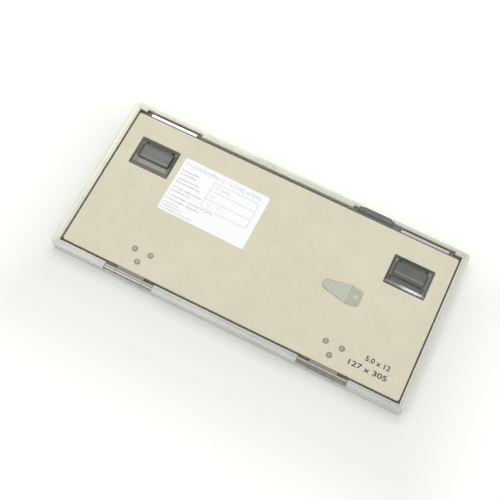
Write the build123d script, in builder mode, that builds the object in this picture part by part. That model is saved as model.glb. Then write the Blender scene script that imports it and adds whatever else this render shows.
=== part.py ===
from build123d import *
import os

os.makedirs("parts", exist_ok=True)

# A flat film cassette for panoramic dental x-rays, closed, lying on its x-ray side.
# X runs along the long sides, Y from the hinge side to the latch side, Z up out of the lid.
# The origin is the middle of the outline, on the surface that the cassette lies on.
# All sizes are in millimetres.

# ---------------------------------------------------------------- film and frame
film_length = 305.0             # 12 inch side of the film
film_width = 127.0              # 5 inch side of the film
end_margin = 9.0                # from the film to the rim opening, at each short side
side_margin = 10.0              # from the film to the rim opening, at each long side
rim_width = 6.0                 # width of the rail seen from above
frame_height = 11.0
frame_corner_radius = 4.5       # the mitred corners are ground round on the outside
rail_wall = 1.3                 # outer wall of the rail
lip_thickness = 2.5             # the rim's top lip, which the latch tongues go under
top_edge_radius = 1.0
foot_edge_radius = 0.5
bead_width = 1.7                # raised bead along the rim's inner edge
bead_radius = 0.6
groove_width = 0.4              # fine groove between the bead and the flat of the rim
groove_depth = 0.35
foot_thickness = 0.8            # bottom flange under the entry panel
panel_thickness = 1.2
panel_grip = 3.5                # how far the panel's edge goes into the rail
rib_thickness = 0.8             # rib that holds the panel down
rib_setback = 1.0               # the rib ends this far behind the rim opening
key_width = 3.0                 # angle keys inside the mitred corners
key_leg = 12.0

# ---------------------------------------------------------------- film sandwich
screen_thickness = 0.3
screen_margin = 0.5             # the screens reach this far past the film
screen_corner_radius = 3.0
film_space = 0.25
foam_thickness = 1.3
lead_thickness = 0.15
backing_thickness = 0.6
seal_width = 6.0                # felt light trap under the lid's edge
seal_height = 2.0
seal_gap = 0.8                  # between the felt and the rim opening

# ---------------------------------------------------------------- lid
lid_drop = 1.2                  # the lid lies this far below the top of the rim
lid_sheet = 0.8
lid_gap_ends = 1.45
lid_gap_hinge_side = 2.45
lid_gap_latch_side = 3.15
lid_corner_radius = 2.0
lid_edge_chamfer = 0.5

# ---------------------------------------------------------------- hinges
hinge_inset = 69.7              # from the end of the rim opening to the middle of each hinge
hinge_length = 46.3
knuckle_radius = 2.2
knuckle_drop = 0.1              # from the top of the rim to the knuckles
end_knuckle = 10.0
knuckle_gap = 0.15
pin_radius = 1.1
pin_clearance = 0.05
leaf_thickness = 1.0
lid_leaf_reach = 25.0           # how far the lid's leaf runs in under the sheet
leaf_corner_radius = 3.0
hinge_clearance = 0.2
notch_clearance = 0.3
frame_rivet_inset = 11.15       # from each end of a hinge to the rivet in its rail leaf
frame_rivet_height = 4.6
frame_rivet_radius = 1.2
lid_rivet_spacing = 15.2
lid_rivet_far_inset = 20.0      # from the lid's edge to the pair of rivets
lid_rivet_near_inset = 10.0     # from the lid's edge to the single rivet
lid_rivet_radius = 1.6
lid_rivet_head_radius = 2.75
lid_rivet_head = 0.3

# ---------------------------------------------------------------- latches
latch_inset = 35.4              # from the end of the rim opening to the middle of each latch
well_length = 39.0
well_width = 29.4
well_inset = 20.6               # from the lid's latch side edge to the well
well_corner_radius = 1.2
bezel = 0.8                     # edge of the housing seen round the well
housing_wall = 0.8
housing_floor = 0.5
housing_flange = 3.0
flange_thickness = 0.6
ramp_run = 4.5                  # how far each side of the well runs in towards its floor
finger_shelf = 3.6              # shallow shelf on the side where the fingertip goes in
finger_shelf_drop = 0.45        # from the lid's face to the shelf's near edge
finger_shelf_fall = 0.65        # how much lower its far edge lies
finger_wall_run = 0.8           # the steep wall from the shelf to the floor runs in this far
far_lean = 1.35                 # the latch side leans only this far, then drops straight down
cutout_clearance = 0.05
throw = 2.2                     # travel of each latch
slider_side_gap = 0.2           # between each end of the slider and the well's wall, at the floor
slider_width = 13.2
slider_far_gap = 0.6            # left between slider and housing when the latch is thrown
slider_drop = 0.8               # from the lid's face to the top of the slider
slider_lift = 0.1               # between the slider and the housing's floor
slider_bevel = 2.4
slider_bevel_drop = 1.3
slider_dish_depth = 0.25
slider_ridge = 1.2
tongue_thickness = 1.0
tongue_drop = 2.8               # from the top of the rim to the tongue
tongue_length = 46.6
tongue_reach = 2.3              # how far the drawn back tongue stands into the rim opening
tongue_bevel = 1.2
tongue_nose = 0.5               # thickness left at the very edge of the tongue
tongue_tail_length = 24.0
tongue_tail_grip = 10.0         # how far the tail runs into the slider
tongue_shoulder = 2.0           # from the housing's flange to the wide part of the tongue
slot_clearance = 0.2
lip_notch_depth = 2.6
lip_notch_clearance = 5.0       # past each end of the tongue
stud_spacing = 32.0
stud_inset = 8.4                # from the lid's edge to the guide studs
stud_radius = 1.5
stud_head_radius = 2.8
stud_head = 0.6
stud_clearance = 0.3
spring_thickness = 0.4
spring_length = 14.0
spring_bow = 1.6
spring_foot = 3.0
spring_foot_width = 1.5
spring_gap = 0.3

# ---------------------------------------------------------------- lift tab
tab_inset = 84.2                # from the right end of the rim opening to the middle of the tab
tab_length = 34.4
tab_taper = 2.4                 # each end of the tab draws in this far towards the outside
tab_corner_radius = 2.0
tab_edge_chamfer = 0.3
tab_setback = 0.6               # from the rail's outer face to the tab
tab_drop = 0.6                  # from the top of the rim to the tab
tab_pad_inset = 0.3             # the raised pad starts this far behind the rim opening
tab_thickness = 1.0
tab_root = 5.0                  # how far the tab runs in under the lid
tab_clearance = 0.9
tab_floor_clearance = 0.3
tab_relief = 5.0                # the bead is cut away this far past each end of the tab

# ---------------------------------------------------------------- label and card clip
label_inset = 103.5             # from the left end of the rim opening to the middle of the label
label_rise = 19.7               # from the middle of the cassette towards the latches
label_length = 85.5
label_width = 56.0
label_thickness = 0.15
label_corner_radius = 2.0
label_turn = -1.1               # degrees, the label is stuck on a little askew
clip_inset = 76.3               # from the right end of the rim opening to the clip's bend line
clip_drop = 4.1                 # from the middle of the cassette towards the hinges
clip_leaf_length = 24.8
clip_tip_radius = 4.1
clip_half_width = 8.9
clip_base_length = 11.1
clip_base_half_width = 7.2
clip_corner_radius = 2.5
clip_thickness = 0.4
clip_tilt = 2.0                 # degrees that the leaf stands up at rest
clip_bend_gap = 0.1
clip_recess_depth = 0.45
clip_recess_margin = 0.8
clip_rivet_offset = 6.1
clip_rivet_radius = 1.2
clip_rivet_head_radius = 2.3
clip_rivet_head = 0.35

head_slope = 25.0               # degrees, how the side of a flat rivet head leans in
overrun = 1.0                   # how far a cut starts outside the piece it cuts
hair = 0.01                     # slack for picking edges by their place

# ---------------------------------------------------------------- worked out from these
opening_length = film_length + 2 * end_margin
opening_width = film_width + 2 * side_margin
half_opening = opening_length / 2
frame_length = opening_length + 2 * rim_width
frame_width = opening_width + 2 * rim_width

panel_bottom = foot_thickness
panel_top = panel_bottom + panel_thickness
rib_top = panel_top + rib_thickness
lip_bottom = frame_height - lip_thickness
front_screen_top = panel_top + screen_thickness
back_screen_bottom = front_screen_top + film_space
foam_bottom = back_screen_bottom + screen_thickness
lead_bottom = foam_bottom + foam_thickness
backing_bottom = lead_bottom + lead_thickness
backing_top = backing_bottom + backing_thickness
lid_top = frame_height - lid_drop
sheet_bottom = lid_top - lid_sheet

lid_length = opening_length - 2 * lid_gap_ends
lid_hinge_edge = -opening_width / 2 + lid_gap_hinge_side
lid_latch_edge = opening_width / 2 - lid_gap_latch_side
lid_width = lid_latch_edge - lid_hinge_edge
lid_middle = (lid_latch_edge + lid_hinge_edge) / 2

hinge_x = half_opening - hinge_inset
hinge_axis_y = -frame_width / 2 + rail_wall + knuckle_radius
hinge_axis_z = frame_height - knuckle_drop - knuckle_radius
hinge_notch_floor = hinge_axis_z - knuckle_radius - hinge_clearance
middle_knuckle = hinge_length - 2 * end_knuckle - 2 * knuckle_gap
lid_leaf_bottom = sheet_bottom - leaf_thickness
lid_leaf_end = lid_hinge_edge + lid_leaf_reach

latch_x = half_opening - latch_inset
well_far_edge = lid_latch_edge - well_inset
well_middle = well_far_edge - well_width / 2
well_near_edge = well_far_edge - well_width
well_floor = backing_top + housing_floor
floor_length = well_length - 2 * bezel - 2 * ramp_run
slider_length = floor_length - 2 * slider_side_gap
shelf_near_edge = well_near_edge + bezel
shelf_far_edge = shelf_near_edge + finger_shelf
floor_near_edge = shelf_far_edge + finger_wall_run
floor_far_edge = well_far_edge - bezel - ramp_run
slider_top = lid_top - slider_drop
slider_bottom = well_floor + slider_lift
tongue_top = frame_height - tongue_drop
tongue_bottom = tongue_top - tongue_thickness
tongue_edge = opening_width / 2 + tongue_reach
pocket_far_edge = well_far_edge - bezel - far_lean
slider_far_edge = pocket_far_edge - slider_far_gap - throw
slider_near_edge = slider_far_edge - slider_width
tongue_tail_end = slider_far_edge - tongue_tail_grip
flange_far_edge = well_far_edge + housing_flange
tongue_shoulder_edge = flange_far_edge + tongue_shoulder
stud_y = lid_latch_edge - stud_inset

tab_x = half_opening - tab_inset
tab_pad_edge = opening_width / 2 + tab_pad_inset
tab_outer_edge = frame_width / 2 - tab_setback
tab_bottom = sheet_bottom - tab_thickness
tab_top = frame_height - tab_drop

label_x = -half_opening + label_inset
clip_x = half_opening - clip_inset
clip_y = -clip_drop
clip_seat = lid_top - clip_recess_depth


def save(part, name):
    """Labels a finished piece and writes its file."""
    part.label = name
    export_step(part, f"parts/{name}.step")


def slab(length, width, bottom, top, middle=0.0, radius=0.0):
    """A flat rectangular piece lying level, its middle on the Y given."""
    with BuildPart() as piece:
        with BuildSketch(Plane.XY.offset(bottom)):
            with Locations((0, middle)):
                if radius > 0:
                    RectangleRounded(length, width, radius)
                else:
                    Rectangle(length, width)
        extrude(amount=top - bottom)
    return piece.part


# ---------------------------------------------------------------- frame rails
def mitred_rail(corner, along, inward, length):
    """One rail of the extruded frame, mitred at both ends, with its outer corners ground round."""
    section_plane = Plane(origin=corner, x_dir=inward, z_dir=along)
    plan_plane = Plane(origin=corner, x_dir=along, z_dir=(0, 0, 1))
    bead_start = rim_width - bead_width
    outline = [
        (0, 0),
        (0, frame_height),
        (bead_start - groove_width, frame_height),
        (bead_start - groove_width / 2, frame_height - groove_depth),
        (bead_start, frame_height),
        (rim_width, frame_height),
        (rim_width, lip_bottom),
        (rail_wall, lip_bottom),
        (rail_wall, rib_top),
        (rim_width - rib_setback, rib_top),
        (rim_width - rib_setback, panel_top),
        (rim_width - panel_grip, panel_top),
        (rim_width - panel_grip, panel_bottom),
        (rim_width, panel_bottom),
        (rim_width, 0),
    ]
    with BuildPart() as rail:
        with BuildSketch(section_plane) as section:
            with BuildLine():
                Polyline(*outline, close=True)
            make_face()
            bead_edge = section.vertices().sort_by_distance((rim_width, frame_height))[0]
            fillet(bead_edge, bead_radius)
            foot_edge = section.vertices().sort_by_distance((0, 0))[0]
            fillet(foot_edge, foot_edge_radius)
        extrude(amount=length)
        with BuildSketch(plan_plane):
            with BuildLine():
                Polyline(
                    (0, 0),
                    (length, 0),
                    (length - rim_width, rim_width),
                    (rim_width, rim_width),
                    close=True,
                )
            make_face()
        extrude(amount=frame_height, mode=Mode.INTERSECT)
        with BuildSketch(Plane.XY):
            RectangleRounded(frame_length, frame_width, frame_corner_radius)
        extrude(amount=frame_height, mode=Mode.INTERSECT)
        outer_top = rail.edges().filter_by_position(Axis.Z, frame_height, frame_height).filter_by(
            lambda edge: on_outline(edge.center())
        )
        fillet(outer_top, top_edge_radius)
    return rail.part


def on_outline(point):
    """Whether a point lies on the frame's rounded outline, to within a hair."""
    reach_x = max(abs(point.X) - (frame_length / 2 - frame_corner_radius), 0)
    reach_y = max(abs(point.Y) - (frame_width / 2 - frame_corner_radius), 0)
    reach = (reach_x**2 + reach_y**2) ** 0.5
    return abs(reach - frame_corner_radius) < hair


half_length = frame_length / 2
half_width = frame_width / 2
front_corner = (-half_length, -half_width, 0)
rear_corner = (half_length, half_width, 0)
left_corner = (-half_length, half_width, 0)
right_corner = (half_length, -half_width, 0)

def frame_rivet_planes(x):
    """Planes on the rail's outer face, across the two rivets of one hinge, facing outwards."""
    step = hinge_length / 2 - frame_rivet_inset
    return [
        Plane(origin=(x + side * step, -half_width, frame_rivet_height), z_dir=(0, -1, 0))
        for side in (-1, 1)
    ]


# The hinge side rail, cut away where the two hinges sit.
plain_front_rail = mitred_rail(front_corner, (1, 0, 0), (0, 1, 0), frame_length)
with BuildPart() as frame_rail_front:
    add(plain_front_rail)
    with BuildSketch(Plane.XY.offset(hinge_notch_floor)):
        with Locations((-hinge_x, -half_width), (hinge_x, -half_width)):
            Rectangle(hinge_length + 2 * notch_clearance, 2 * (rim_width + overrun))
    extrude(amount=frame_height, mode=Mode.SUBTRACT)
    for rivet in frame_rivet_planes(-hinge_x) + frame_rivet_planes(hinge_x):
        with BuildSketch(rivet):
            Circle(frame_rivet_radius)
        extrude(amount=-rail_wall, mode=Mode.SUBTRACT)
save(frame_rail_front.part, "frame_rail_front")

# The latch side rail: its lip lets the tongues down past it, and it is open for the lift tab.
tongue_notch = tongue_length + 2 * lip_notch_clearance
half_tab_gap = tab_length / 2 + tab_clearance
tab_slant = tab_taper / (tab_outer_edge - tab_pad_edge)
plain_rear_rail = mitred_rail(rear_corner, (-1, 0, 0), (0, -1, 0), frame_length)
with BuildPart() as frame_rail_rear:
    add(plain_rear_rail)
    with BuildSketch(Plane.XY.offset(lip_bottom)):
        with Locations((-latch_x, opening_width / 2), (latch_x, opening_width / 2)):
            Rectangle(tongue_notch, 2 * lip_notch_depth)
        with Locations((tab_x, opening_width / 2)):
            Rectangle(tab_length + 2 * tab_relief, 2 * lip_notch_depth)
    extrude(amount=lip_thickness, mode=Mode.SUBTRACT)
    with BuildSketch(Plane.XY.offset(tab_bottom - tab_floor_clearance)):
        with BuildLine():
            gap_near = tab_pad_edge - rim_width
            gap_far = half_width + overrun
            near_half = half_tab_gap + tab_slant * rim_width
            far_half = half_tab_gap - tab_slant * (gap_far - tab_pad_edge)
            Polyline(
                (tab_x - near_half, gap_near),
                (tab_x + near_half, gap_near),
                (tab_x + far_half, gap_far),
                (tab_x - far_half, gap_far),
                close=True,
            )
        make_face()
    extrude(amount=frame_height, mode=Mode.SUBTRACT)
save(frame_rail_rear.part, "frame_rail_rear")

save(mitred_rail(left_corner, (0, -1, 0), (1, 0, 0), frame_width), "frame_rail_left")
save(mitred_rail(right_corner, (0, 1, 0), (-1, 0, 0), frame_width), "frame_rail_right")

# Angle keys that hold the four mitres together, inside the rails' channel.
with BuildPart() as corner_keys:
    with BuildSketch(Plane.XY.offset(rib_top)):
        key_x = half_length - rail_wall
        key_y = half_width - rail_wall
        for across in (-1, 1):
            for along in (-1, 1):
                with BuildLine():
                    Polyline(
                        (across * key_x, along * key_y),
                        (across * (key_x - key_leg), along * key_y),
                        (across * (key_x - key_leg), along * (key_y - key_width)),
                        (across * (key_x - key_width), along * (key_y - key_width)),
                        (across * (key_x - key_width), along * (key_y - key_leg)),
                        (across * key_x, along * (key_y - key_leg)),
                        close=True,
                    )
                make_face()
    extrude(amount=lip_bottom - rib_top)
save(corner_keys.part, "corner_keys")

# ---------------------------------------------------------------- film compartment
panel_length = opening_length + 2 * panel_grip
panel_width = opening_width + 2 * panel_grip
save(slab(panel_length, panel_width, panel_bottom, panel_top), "entry_panel")

screen_length = film_length + 2 * screen_margin
screen_width = film_width + 2 * screen_margin
save(
    slab(screen_length, screen_width, panel_top, front_screen_top, 0, screen_corner_radius),
    "front_screen",
)
save(
    slab(screen_length, screen_width, back_screen_bottom, foam_bottom, 0, screen_corner_radius),
    "back_screen",
)
save(slab(screen_length, screen_width, foam_bottom, lead_bottom), "foam_pad")
save(slab(screen_length, screen_width, lead_bottom, backing_bottom), "lead_foil")

# A frame of felt on the entry panel, under the lid's edge, keeps light out.
seal_length = opening_length - 2 * seal_gap
seal_span = opening_width - 2 * seal_gap
with BuildPart() as light_seal:
    with BuildSketch(Plane.XY.offset(panel_top)):
        Rectangle(seal_length, seal_span)
        Rectangle(seal_length - 2 * seal_width, seal_span - 2 * seal_width, mode=Mode.SUBTRACT)
    extrude(amount=seal_height)
save(light_seal.part, "light_seal")


# ---------------------------------------------------------------- hinges
def frame_leaf(x):
    """The hinge leaf on the rail: a plate inside the outer wall with a knuckle at each end."""
    plate_near = -half_width + rail_wall
    with BuildPart() as leaf:
        with BuildSketch(Plane.XY.offset(rib_top)):
            with Locations((x, plate_near)):
                Rectangle(hinge_length, leaf_thickness, align=(Align.CENTER, Align.MIN))
        extrude(amount=hinge_notch_floor - rib_top)
        for end in (-1, 1):
            middle = x + end * (hinge_length - end_knuckle) / 2
            with BuildSketch(Plane.XY.offset(hinge_notch_floor)):
                with Locations((middle, plate_near)):
                    Rectangle(end_knuckle, leaf_thickness, align=(Align.CENTER, Align.MIN))
            extrude(amount=hinge_axis_z - hinge_notch_floor)
            with BuildSketch(knuckle_plane(middle - end_knuckle / 2)):
                Circle(knuckle_radius)
            extrude(amount=end_knuckle)
        with BuildSketch(knuckle_plane(x - hinge_length / 2)):
            Circle(pin_radius)
        extrude(amount=hinge_length, mode=Mode.SUBTRACT)
        for rivet in frame_rivet_planes(x):
            with BuildSketch(rivet):
                Circle(frame_rivet_radius)
            extrude(amount=-rail_wall - leaf_thickness, mode=Mode.SUBTRACT)
    return leaf.part


def knuckle_plane(x):
    """A plane across the hinge line, looking along X."""
    return Plane(origin=(x, hinge_axis_y, hinge_axis_z), x_dir=(0, 1, 0), z_dir=(1, 0, 0))


def lid_leaf(x):
    """The hinge leaf on the lid: one long knuckle and a plate that runs in under the sheet."""
    with BuildPart() as leaf:
        with BuildSketch(Plane.XY.offset(lid_leaf_bottom)):
            with BuildLine():
                Polyline(
                    (x - middle_knuckle / 2, hinge_axis_y),
                    (x + middle_knuckle / 2, hinge_axis_y),
                    (x + middle_knuckle / 2, lid_leaf_end),
                    (x - middle_knuckle / 2, lid_leaf_end),
                    close=True,
                )
            make_face()
        extrude(amount=leaf_thickness)
        inner_corners = leaf.edges().filter_by(Axis.Z).group_by(Axis.Y)[-1]
        fillet(inner_corners, leaf_corner_radius)
        with BuildSketch(knuckle_plane(x - middle_knuckle / 2)):
            Circle(knuckle_radius)
        extrude(amount=middle_knuckle)
        with BuildSketch(knuckle_plane(x - middle_knuckle / 2)):
            Circle(pin_radius + pin_clearance)
        extrude(amount=middle_knuckle, mode=Mode.SUBTRACT)
        with BuildSketch(Plane.XY.offset(lid_leaf_bottom)):
            with Locations(*lid_rivet_places(x)):
                Circle(lid_rivet_radius)
        extrude(amount=leaf_thickness, mode=Mode.SUBTRACT)
    return leaf.part


def lid_rivet_places(x):
    """Where the three rivets of one hinge go through the lid."""
    far_y = lid_hinge_edge + lid_rivet_far_inset
    near_y = lid_hinge_edge + lid_rivet_near_inset
    return [
        (x - lid_rivet_spacing / 2, far_y),
        (x + lid_rivet_spacing / 2, far_y),
        (x, near_y),
    ]


def hinge_pin(x):
    """The pin through all three knuckles of one hinge."""
    with BuildPart() as pin:
        with BuildSketch(knuckle_plane(x - hinge_length / 2)):
            Circle(pin_radius)
        extrude(amount=hinge_length)
    return pin.part


def frame_rivets(x):
    """Two rivets that hold the rail's leaf, ground flush with the rail outside."""
    with BuildPart() as rivets:
        for rivet in frame_rivet_planes(x):
            with BuildSketch(rivet):
                Circle(frame_rivet_radius)
            extrude(amount=-rail_wall - leaf_thickness)
    return rivets.part


def lid_rivets(x):
    """Three flat-headed rivets through the lid and the leaf under it, flush below."""
    with BuildPart() as rivets:
        with BuildSketch(Plane.XY.offset(lid_top)):
            with Locations(*lid_rivet_places(x)):
                Circle(lid_rivet_head_radius)
        extrude(amount=lid_rivet_head, taper=head_slope)
        with BuildSketch(Plane.XY.offset(lid_leaf_bottom)):
            with Locations(*lid_rivet_places(x)):
                Circle(lid_rivet_radius)
        extrude(amount=lid_top - lid_leaf_bottom)
    return rivets.part


for side_name, side_sign in (("left", -1), ("right", 1)):
    save(frame_leaf(side_sign * hinge_x), f"hinge_frame_leaf_{side_name}")
    save(frame_rivets(side_sign * hinge_x), f"hinge_frame_rivets_{side_name}")
    save(lid_leaf(side_sign * hinge_x), f"hinge_lid_leaf_{side_name}")
    save(lid_rivets(side_sign * hinge_x), f"hinge_lid_rivets_{side_name}")
    save(hinge_pin(side_sign * hinge_x), f"hinge_pin_{side_name}")


# ---------------------------------------------------------------- card clip
def clip_outline(margin):
    """Points of the clip seen from above, grown by a margin, from the bend line's middle."""
    lean = (clip_half_width - clip_tip_radius) / (clip_leaf_length - clip_tip_radius)
    apex = clip_leaf_length - clip_tip_radius + clip_tip_radius / lean
    return [
        (-apex - margin / lean, 0),
        (0, -clip_half_width - margin),
        (clip_base_length + margin, -clip_base_half_width - margin),
        (clip_base_length + margin, clip_base_half_width + margin),
        (0, clip_half_width + margin),
    ]


def clip_sketch(margin):
    """The clip's rounded outline, drawn about the middle of the bend line."""
    points = clip_outline(margin)
    with BuildSketch() as shape:
        with BuildLine():
            Polyline(*points, close=True)
        make_face()
        tip = shape.vertices().sort_by(Axis.X)[0]
        fillet(tip, clip_tip_radius + margin)
        heel = shape.vertices().sort_by(Axis.X)[-2:]
        fillet(heel, clip_corner_radius + margin)
    return shape.sketch


clip_shape = clip_sketch(0)
clip_recess = clip_sketch(clip_recess_margin)
clip_boss = clip_sketch(clip_recess_margin + lid_sheet)
tilt = Vector(1, 0, 0).rotate(Axis.Y, clip_tilt)
leaf_plane = Plane(origin=(clip_x, clip_y, clip_seat), x_dir=tilt, z_dir=tilt.cross(Vector(0, 1, 0)))
with BuildPart() as card_clip_leaf:
    with BuildSketch(leaf_plane):
        add(clip_shape)
        with Locations((-clip_bend_gap, 0)):
            Rectangle(
                clip_bend_gap + clip_base_length + overrun,
                2 * (clip_half_width + overrun),
                align=(Align.MIN, Align.CENTER),
                mode=Mode.SUBTRACT,
            )
    extrude(amount=clip_thickness)
save(card_clip_leaf.part, "card_clip_leaf")

with BuildPart() as card_clip_base:
    with BuildSketch(Plane(origin=(clip_x, clip_y, clip_seat))):
        add(clip_shape)
        Rectangle(
            clip_leaf_length + overrun,
            2 * (clip_half_width + overrun),
            align=(Align.MAX, Align.CENTER),
            mode=Mode.SUBTRACT,
        )
        with Locations((clip_rivet_offset, 0)):
            Circle(clip_rivet_radius, mode=Mode.SUBTRACT)
    extrude(amount=clip_thickness)
save(card_clip_base.part, "card_clip_base")

clip_rivet_x = clip_x + clip_rivet_offset
with BuildPart() as card_clip_rivet:
    with BuildSketch(Plane(origin=(clip_rivet_x, clip_y, clip_seat + clip_thickness))):
        Circle(clip_rivet_head_radius)
    extrude(amount=clip_rivet_head, taper=head_slope)
    with BuildSketch(Plane(origin=(clip_rivet_x, clip_y, clip_seat - lid_sheet))):
        Circle(clip_rivet_radius)
    extrude(amount=lid_sheet + clip_thickness)
save(card_clip_rivet.part, "card_clip_rivet")

# ---------------------------------------------------------------- lid
with BuildPart() as lid_panel:
    with BuildSketch(Plane.XY.offset(backing_bottom)):
        with Locations((0, lid_middle)):
            RectangleRounded(lid_length, lid_width, lid_corner_radius)
    extrude(amount=lid_top - backing_bottom)
    chamfer(lid_panel.edges().group_by(Axis.Z)[-1], lid_edge_chamfer)
    with BuildSketch(Plane.XY.offset(backing_bottom)):
        with Locations((0, lid_middle)):
            RectangleRounded(
                lid_length - 2 * lid_sheet,
                lid_width - 2 * lid_sheet,
                lid_corner_radius - lid_sheet,
            )
    extrude(amount=sheet_bottom - backing_bottom, mode=Mode.SUBTRACT)
    # the card clip's shallow pressed recess, which stands out as much below
    with BuildSketch(Plane(origin=(clip_x, clip_y, clip_seat - lid_sheet))):
        add(clip_boss)
    extrude(amount=sheet_bottom - (clip_seat - lid_sheet))
    with BuildSketch(Plane(origin=(clip_x, clip_y, clip_seat))):
        add(clip_recess)
    extrude(amount=clip_recess_depth, mode=Mode.SUBTRACT)
    with BuildSketch(Plane(origin=(clip_rivet_x, clip_y, clip_seat - lid_sheet))):
        Circle(clip_rivet_radius)
    extrude(amount=lid_sheet, mode=Mode.SUBTRACT)
    # openings for the two latch housings and the hinge rivets
    with BuildSketch(Plane.XY.offset(sheet_bottom)):
        with Locations((-latch_x, well_middle), (latch_x, well_middle)):
            RectangleRounded(
                well_length + 2 * cutout_clearance,
                well_width + 2 * cutout_clearance,
                well_corner_radius + cutout_clearance,
            )
        with Locations(*lid_rivet_places(-hinge_x), *lid_rivet_places(hinge_x)):
            Circle(lid_rivet_radius)
    extrude(amount=lid_sheet, mode=Mode.SUBTRACT)
    # the turned-down edge lets the hinge leaves, the tongues and the lift tab out
    with BuildSketch(Plane.XY.offset(lid_leaf_bottom - slot_clearance)):
        with Locations((-hinge_x, lid_hinge_edge), (hinge_x, lid_hinge_edge)):
            Rectangle(middle_knuckle + 2 * notch_clearance, 2 * lid_sheet)
    extrude(amount=leaf_thickness + slot_clearance, mode=Mode.SUBTRACT)
    with BuildSketch(Plane.XY.offset(tongue_bottom - slot_clearance)):
        with Locations((-latch_x, lid_latch_edge), (latch_x, lid_latch_edge)):
            Rectangle(tongue_length + 2 * notch_clearance, 2 * lid_sheet)
    extrude(amount=tongue_thickness + 2 * slot_clearance, mode=Mode.SUBTRACT)
    with BuildSketch(Plane.XY.offset(tab_bottom)):
        with Locations((tab_x, lid_latch_edge)):
            Rectangle(tab_length, 2 * lid_sheet)
    extrude(amount=tab_thickness, mode=Mode.SUBTRACT)
save(lid_panel.part, "lid_panel")

save(
    slab(
        lid_length - 2 * lid_sheet,
        lid_width - 2 * lid_sheet,
        backing_bottom,
        backing_top,
        lid_middle,
        lid_corner_radius - lid_sheet,
    ),
    "backing_plate",
)

with BuildPart() as record_label:
    label_turned = Plane(
        origin=(label_x, label_rise, lid_top),
        x_dir=Vector(1, 0, 0).rotate(Axis.Z, label_turn),
        z_dir=(0, 0, 1),
    )
    with BuildSketch(label_turned):
        RectangleRounded(label_length, label_width, label_corner_radius)
    extrude(amount=label_thickness)
save(record_label.part, "record_label")

# The lift tab: a flat root under the lid and a raised pad in the gap of the rail.
with BuildPart() as lift_tab:
    with BuildSketch(Plane.XY.offset(tab_bottom)):
        with Locations((tab_x, lid_latch_edge - tab_root)):
            Rectangle(
                tab_length,
                tab_pad_edge - (lid_latch_edge - tab_root),
                align=(Align.CENTER, Align.MIN),
            )
    extrude(amount=tab_thickness)
    with BuildSketch(Plane.XY.offset(tab_bottom)) as pad:
        with BuildLine():
            Polyline(
                (tab_x - tab_length / 2, tab_pad_edge),
                (tab_x + tab_length / 2, tab_pad_edge),
                (tab_x + tab_length / 2 - tab_taper, tab_outer_edge),
                (tab_x - tab_length / 2 + tab_taper, tab_outer_edge),
                close=True,
            )
        make_face()
        fillet(pad.vertices().group_by(Axis.Y)[-1], tab_corner_radius)
    extrude(amount=tab_top - tab_bottom)
    pad_top = lift_tab.edges().group_by(Axis.Z)[-1]
    chamfer(pad_top, tab_edge_chamfer)
save(lift_tab.part, "lift_tab")


# ---------------------------------------------------------------- latches
def sloped_block(x, bottom, top, bottom_length, top_length, bottom_edges, top_edges):
    """A block with four flat sloping sides; the edges are its near and far Y, below and above."""
    half_top = top_length / 2
    half_bottom = bottom_length / 2
    with BuildPart() as block:
        with BuildSketch(Plane(origin=(x - half_top, 0, 0), x_dir=(0, 1, 0), z_dir=(1, 0, 0))):
            with BuildLine():
                Polyline(
                    (bottom_edges[0], bottom),
                    (bottom_edges[1], bottom),
                    (top_edges[1], top),
                    (top_edges[0], top),
                    close=True,
                )
            make_face()
        extrude(amount=top_length)
        with BuildSketch(Plane(origin=(x, 0, 0), x_dir=(1, 0, 0), z_dir=(0, -1, 0))):
            with BuildLine():
                Polyline(
                    (-half_bottom, bottom),
                    (half_bottom, bottom),
                    (half_top, top),
                    (-half_top, top),
                    close=True,
                )
            make_face()
        extrude(amount=-top_edges[1], mode=Mode.INTERSECT)
    return block.part


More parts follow.
